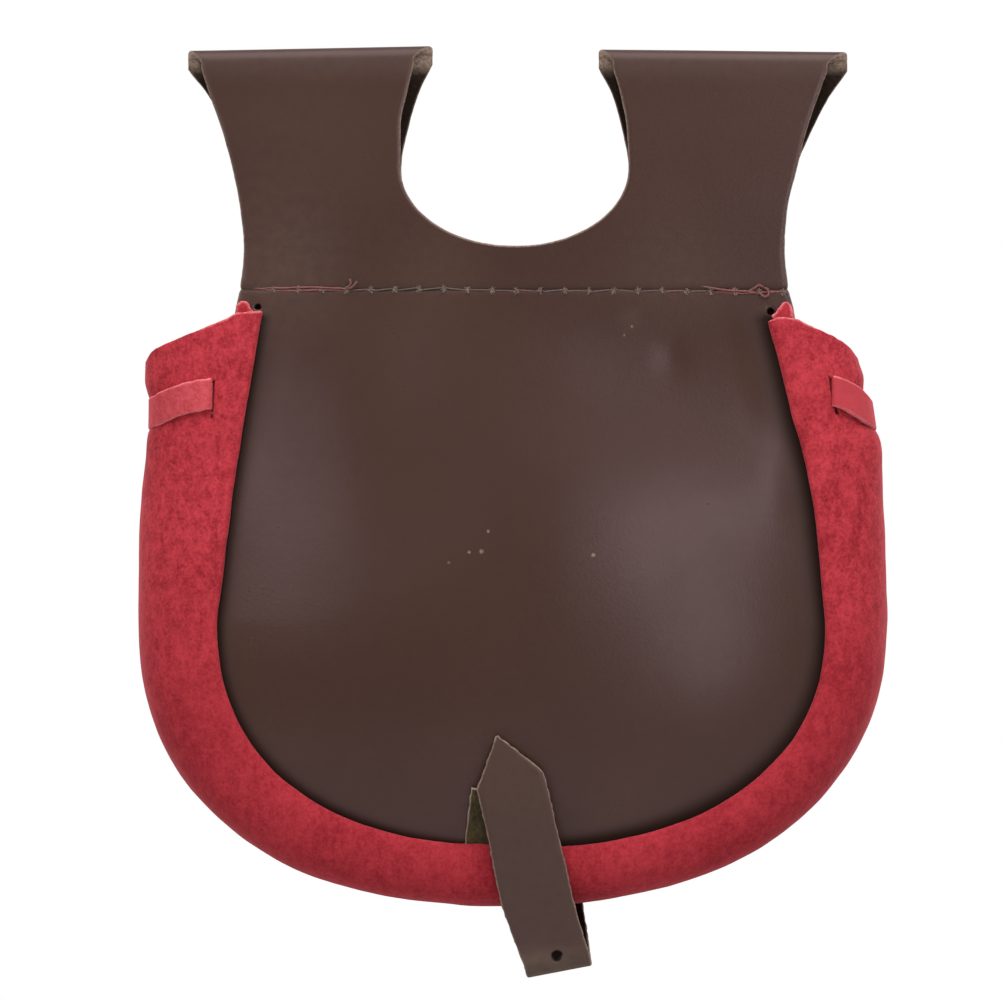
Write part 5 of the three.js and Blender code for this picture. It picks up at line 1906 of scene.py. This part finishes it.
def colour_property(name, description, colour):
    """A colour that a maker would change."""
    return FloatVectorProperty(
        name=name, description=description, default=colour, size=3, min=0, max=1, subtype="COLOR")


class PouchColours(bpy.types.PropertyGroup):
    """Colours that a maker would change."""

    brown: colour_property("Brown", "Lighter clouds of the brown grain", (0.0525, 0.0236, 0.0154))
    brown_deep: colour_property("Deep Brown", "Darker clouds of the brown grain", (0.0439, 0.0189, 0.0121))
    sheen: colour_property("Sheen", "Tint of the light that the brown grain throws back", (1.0, 0.84, 0.94))
    # Pale colour for wear and for painted sheen at bends
    wear_and_sheen: colour_property("Rubbed", "Grain that is rubbed pale at a bend", (0.12, 0.085, 0.068))
    edge: colour_property("Edge", "Pale fibres of a cut leather edge", (0.3, 0.22, 0.175))
    edge_deep: colour_property("Deep Edge", "Darker fibres of a cut leather edge", (0.17, 0.115, 0.085))
    # The flesh colours are dark partly as painted shade, for the tab lying in the strap's shadow
    flesh: colour_property("Flesh", "Lighter fibres of the flesh side", (0.075, 0.055, 0.022))
    flesh_deep: colour_property("Deep Flesh", "Darker fibres of the flesh side", (0.02, 0.0145, 0.008))
    # The inside colours are near black: partly the leather's own colour, partly painted shade inside the
    # loops; the deep one is also the colour of painted shade on the grain
    inside: colour_property("Inside", "Lighter fibres inside the leather", (0.024, 0.014, 0.0095))
    deep_inside_and_shade: colour_property("Deep Inside", "Darker fibres inside the leather", (0.01, 0.006, 0.004))
    # The deep suede and lace colours also serve as the colour of painted shade
    red: colour_property("Red", "Suede brushed light", (0.52, 0.044, 0.059))
    red_deep: colour_property("Deep Red", "Suede brushed dark", (0.24, 0.0115, 0.019))
    fuzz: colour_property("Fuzz", "Pale fuzz along the cuts of the suede", (0.72, 0.2, 0.22))
    lace: colour_property("Lace", "Drawstring brushed light", (0.6, 0.085, 0.1))
    lace_deep: colour_property("Deep Lace", "Drawstring brushed dark", (0.42, 0.04, 0.052))
    thread_red: colour_property("Red Thread", "Thread stained by the suede", (0.21, 0.068, 0.06))
    thread_dull: colour_property("Dull Thread", "Plain thread, darkened by wear", (0.115, 0.073, 0.057))
    thread_pale: colour_property("Pale Thread", "Fluff that stands out of the thread", (0.36, 0.26, 0.215))
    floor: colour_property("Floor", "The studio floor", (0.5, 0.5, 0.5))


class POUCH_OT_stage(bpy.types.Operator):
    """Set up the camera, the soft light, the surround and the floor"""

    bl_idname = "pouch.stage"
    bl_label = "Studio"

    distance: FloatProperty(
        name="Distance", description="How far the camera stands from the pouch",
        default=4.0, min=1.0, max=10.0, unit="LENGTH")
    near_light: FloatProperty(
        name="Near Light", description="Strength of the light from round the camera",
        default=0.12, min=0.0, max=2.0)
    far_light: FloatProperty(
        name="Far Light", description="Strength of the light from behind the pouch",
        default=0.6, min=0.0, max=2.0)
    floor_depth: FloatProperty(
        name="Floor Depth", description="How far the floor lies below the belt",
        default=0.5, min=0.25, max=1.5, unit="LENGTH")
    floor_radius: FloatProperty(
        name="Floor Radius", description="How far the floor reaches",
        default=2.4, min=0.5, max=5.0, unit="LENGTH")

    def execute(self, context):
        context.scene.view_settings.view_transform = "Standard"
        add_camera(self.distance)
        add_world(self.near_light, self.far_light)
        for row in SOFT_BOXES:
            add_soft_box(row)
        pale = studio_floor("studio_floor", context.scene.pouch_colours)
        add_floor(-self.floor_depth, self.floor_radius, pale)
        return {"FINISHED"}


class POUCH_OT_back(bpy.types.Operator):
    """Cut and fold the leather back with its belt loops"""

    bl_idname = "pouch.back"
    bl_label = "Leather Back"

    def execute(self, context):
        sizes, colours = context.scene.pouch_sizes, context.scene.pouch_colours
        hide = back_hide(sizes)
        vertices, faces, marks = hide.solid(sizes.leather / MM, sizes.leather_edge / MM, RAGGED["back"])
        # Painted shade beside the suede's lip and along the sewn groove
        marks["painted_shade"] = painted_seam_shade(vertices)
        # Paler top of the fold: wear and a painted soft highlight
        worn = smooth((vertices[:, 2] - FOLD_WEAR_AND_SHEEN["bottom"]) / -FOLD_WEAR_AND_SHEEN["bottom"])
        marks["wear_and_sheen"] = FOLD_WEAR_AND_SHEEN["most"] * worn
        at_fold = marks["flesh_side"] * smooth((vertices[:, 2] - FOLD_CUT) / (FOLD_TOP - FOLD_CUT))
        marks["cut_edge"] = np.maximum(marks["cut_edge"], at_fold)
        leather = brown_leather("brown_leather_back", colours, NICKS_AND_GLINTS, SCUFFS_AND_SHEEN)
        seat(piece("leather_back", vertices, faces, marks, leather), "brown_leather", "back_panel")
        return {"FINISHED"}


class POUCH_OT_flap(bpy.types.Operator):
    """Hang the front flap"""

    bl_idname = "pouch.flap"
    bl_label = "Front Flap"

    def execute(self, context):
        sizes, colours = context.scene.pouch_sizes, context.scene.pouch_colours
        solid = flap_hide(sizes).solid(sizes.leather / MM, sizes.leather_edge / MM, RAGGED["flap"])
        leather = brown_leather("brown_leather_flap", colours)
        seat(piece("flap", *solid, leather), "brown_leather", "front_flap")
        return {"FINISHED"}


class POUCH_OT_bag(bpy.types.Operator):
    """Shape the suede bag and its turned seam allowance"""

    bl_idname = "pouch.bag"
    bl_label = "Suede Bag"

    def execute(self, context):
        sizes, colours = context.scene.pouch_sizes, context.scene.pouch_colours
        red = suede("red_suede", colours.red, colours.red_deep, colours.fuzz)
        hide, folded = bag_hide()
        vertices, faces, marks = hide.solid(sizes.suede / MM, sizes.suede_edge / MM, RAGGED["bag"], folded)
        # Painted shade, darker towards the bottom of the bag
        drop = (BAG_PAINTED_SHADE["top"] - vertices[:, 2]) / (BAG_PAINTED_SHADE["top"] - BAG_PAINTED_SHADE["bottom"])
        marks["painted_shade"] = BAG_PAINTED_SHADE["most"] * smooth(drop)
        seat(piece("bag", vertices, faces, marks, red), "red_suede", "suede_bag")
        thin = sizes.suede / MM * ALLOWANCE["thick"]
        for side in SIGN:
            turned = allowance_hide(side).solid(thin, sizes.suede_edge / MM, RAGGED["allowance"])
            seat(piece(f"seam_allowance_{side}", *turned, red), "red_suede")
        return {"FINISHED"}


class POUCH_OT_drawstring(bpy.types.Operator):
    """Thread the drawstring through its slits"""

    bl_idname = "pouch.drawstring"
    bl_label = "Drawstring"

    def execute(self, context):
        sizes, colours = context.scene.pouch_sizes, context.scene.pouch_colours
        hide = lace_hide(sizes)
        vertices, faces, marks = hide.solid(sizes.lace / MM, sizes.suede_edge / MM, RAGGED["lace"])
        # Painted shade over the right half of the lace
        marks["painted_shade"] = LACE_PAINTED_SHADE * (vertices[:, 0] > 0)
        lace = suede("lace_suede", colours.lace, colours.lace_deep, colours.fuzz)
        seat(piece("lace", vertices, faces, marks, lace), "red_lace", "drawstring")
        return {"FINISHED"}


class POUCH_OT_strap(bpy.types.Operator):
    """Bend the closing strap round the bottom, and add its tab"""

    bl_idname = "pouch.strap"
    bl_label = "Closing Strap"

    def execute(self, context):
        sizes, colours = context.scene.pouch_sizes, context.scene.pouch_colours
        hide = strap_hide(sizes)
        vertices, faces, marks = hide.solid(sizes.leather / MM, sizes.leather_edge / MM, RAGGED["strap"])
        # Paler round the bend: a little wear all along, and a painted reflection of the floor at the bend
        bent = smooth((BEND_WEAR_AND_SHEEN["top"] - vertices[:, 2]) / (BEND_WEAR_AND_SHEEN["top"] - BEND_WEAR_AND_SHEEN["bottom"]))
        marks["wear_and_sheen"] = lerp(BEND_WEAR_AND_SHEEN["least"], 1, bent)
        # Painted shade round the strap's hole; the mark also makes its rim dull
        away = np.linalg.norm(vertices - hide.points[hide.punched].mean(axis=0), axis=1)
        marks["painted_shade"] = PAINTED_SEAM_SHADE["strength"] * smooth((STRAP_HOLE / 2 + HOLE_RIM - away) / HOLE_RIM)
        leather = brown_leather("brown_leather_strap", colours)
        seat(piece("strap", vertices, faces, marks, leather), "brown_leather", "closure_strap")
        solid = tab_hide(sizes).solid(sizes.tab / MM, sizes.leather_edge / MM, RAGGED["tab"])
        seat(piece("tab", *solid, flesh_leather("leather_flesh_side", colours)), "flesh_side", "strap_tab")
        return {"FINISHED"}


class POUCH_OT_sewing(bpy.types.Operator):
    """Sew the seam and the strap's end, and leave the loose ends of thread"""

    bl_idname = "pouch.sewing"
    bl_label = "Sewing"

    def execute(self, context):
        sizes, colours = context.scene.pouch_sizes, context.scene.pouch_colours
        thread = waxed_thread("waxed_thread", colours)
        strand = {"Thread": sizes.thread, "Twist": sizes.thread * SEWING["twist"], "Material": thread}
        stitch = {
            "Stitch": sizes.stitch,
            "Pitch": sizes.pitch,
            "Lift": sizes.thread * SEWING["lift"],
            "Wander": sizes.wander,
            "Tuft": sizes.thread * SEWING["tuft"],
            "Fibres": SEWING["fibres"],
        }
        hand = stitch_tree()
        back_line, back_out = seam_line(sizes)
        front_line, front_out = front_seam_line(sizes)
        box_lines, box_outs = box_stitch_lines(sizes)
        seams = (
            ("seam_stitches", [back_line], [back_out], sizes.seed),
            ("flap_stitches", [front_line], [front_out], sizes.seed + 1),
            ("strap_stitches", box_lines, box_outs, sizes.seed + 2),
        )
        for name, lines, outs, seed in seams:
            made = worked(path_object(name, lines, outs), hand, {**strand, **stitch, "Seed": seed})
            seat(made, "red_lace")
        doubled = {**strand, "Thread": sizes.thread * SEWING["doubled"]}
        seat(worked(path_object("loose_thread", loose_lines(sizes)), strand_tree(), doubled), "red_lace")
        return {"FINISHED"}


class POUCH_PT_sidebar(bpy.types.Panel):
    """The pouch's pieces, sizes and colours"""

    bl_idname = "POUCH_PT_sidebar"
    bl_label = "Belt Pouch"
    bl_space_type = "VIEW_3D"
    bl_region_type = "UI"
    bl_category = "Pouch"

    def draw(self, context):
        layout = self.layout
        for operator in OPERATORS:
            layout.operator(operator.bl_idname)
        for group in (context.scene.pouch_sizes, context.scene.pouch_colours):
            box = layout.box()
            for name in group.__annotations__:
                box.prop(group, name)


OPERATORS = (
    POUCH_OT_stage,
    POUCH_OT_back,
    POUCH_OT_flap,
    POUCH_OT_bag,
    POUCH_OT_drawstring,
    POUCH_OT_strap,
    POUCH_OT_sewing,
)
CLASSES = (PouchSizes, PouchColours, *OPERATORS, POUCH_PT_sidebar)


def register():
    """Adds the pouch's classes and settings."""
    for each in CLASSES:
        bpy.utils.register_class(each)
    bpy.types.Scene.pouch_sizes = PointerProperty(type=PouchSizes)
    bpy.types.Scene.pouch_colours = PointerProperty(type=PouchColours)


def unregister():
    """Takes the pouch's classes and settings away again."""
    del bpy.types.Scene.pouch_colours
    del bpy.types.Scene.pouch_sizes
    for each in reversed(CLASSES):
        bpy.utils.unregister_class(each)


def main():
    """Builds the whole pouch."""
    register()
    bpy.ops.pouch.stage()
    bpy.ops.pouch.back()
    bpy.ops.pouch.flap()
    bpy.ops.pouch.bag()
    bpy.ops.pouch.drawstring()
    bpy.ops.pouch.strap()
    bpy.ops.pouch.sewing()


if __name__ == "__main__":
    main()
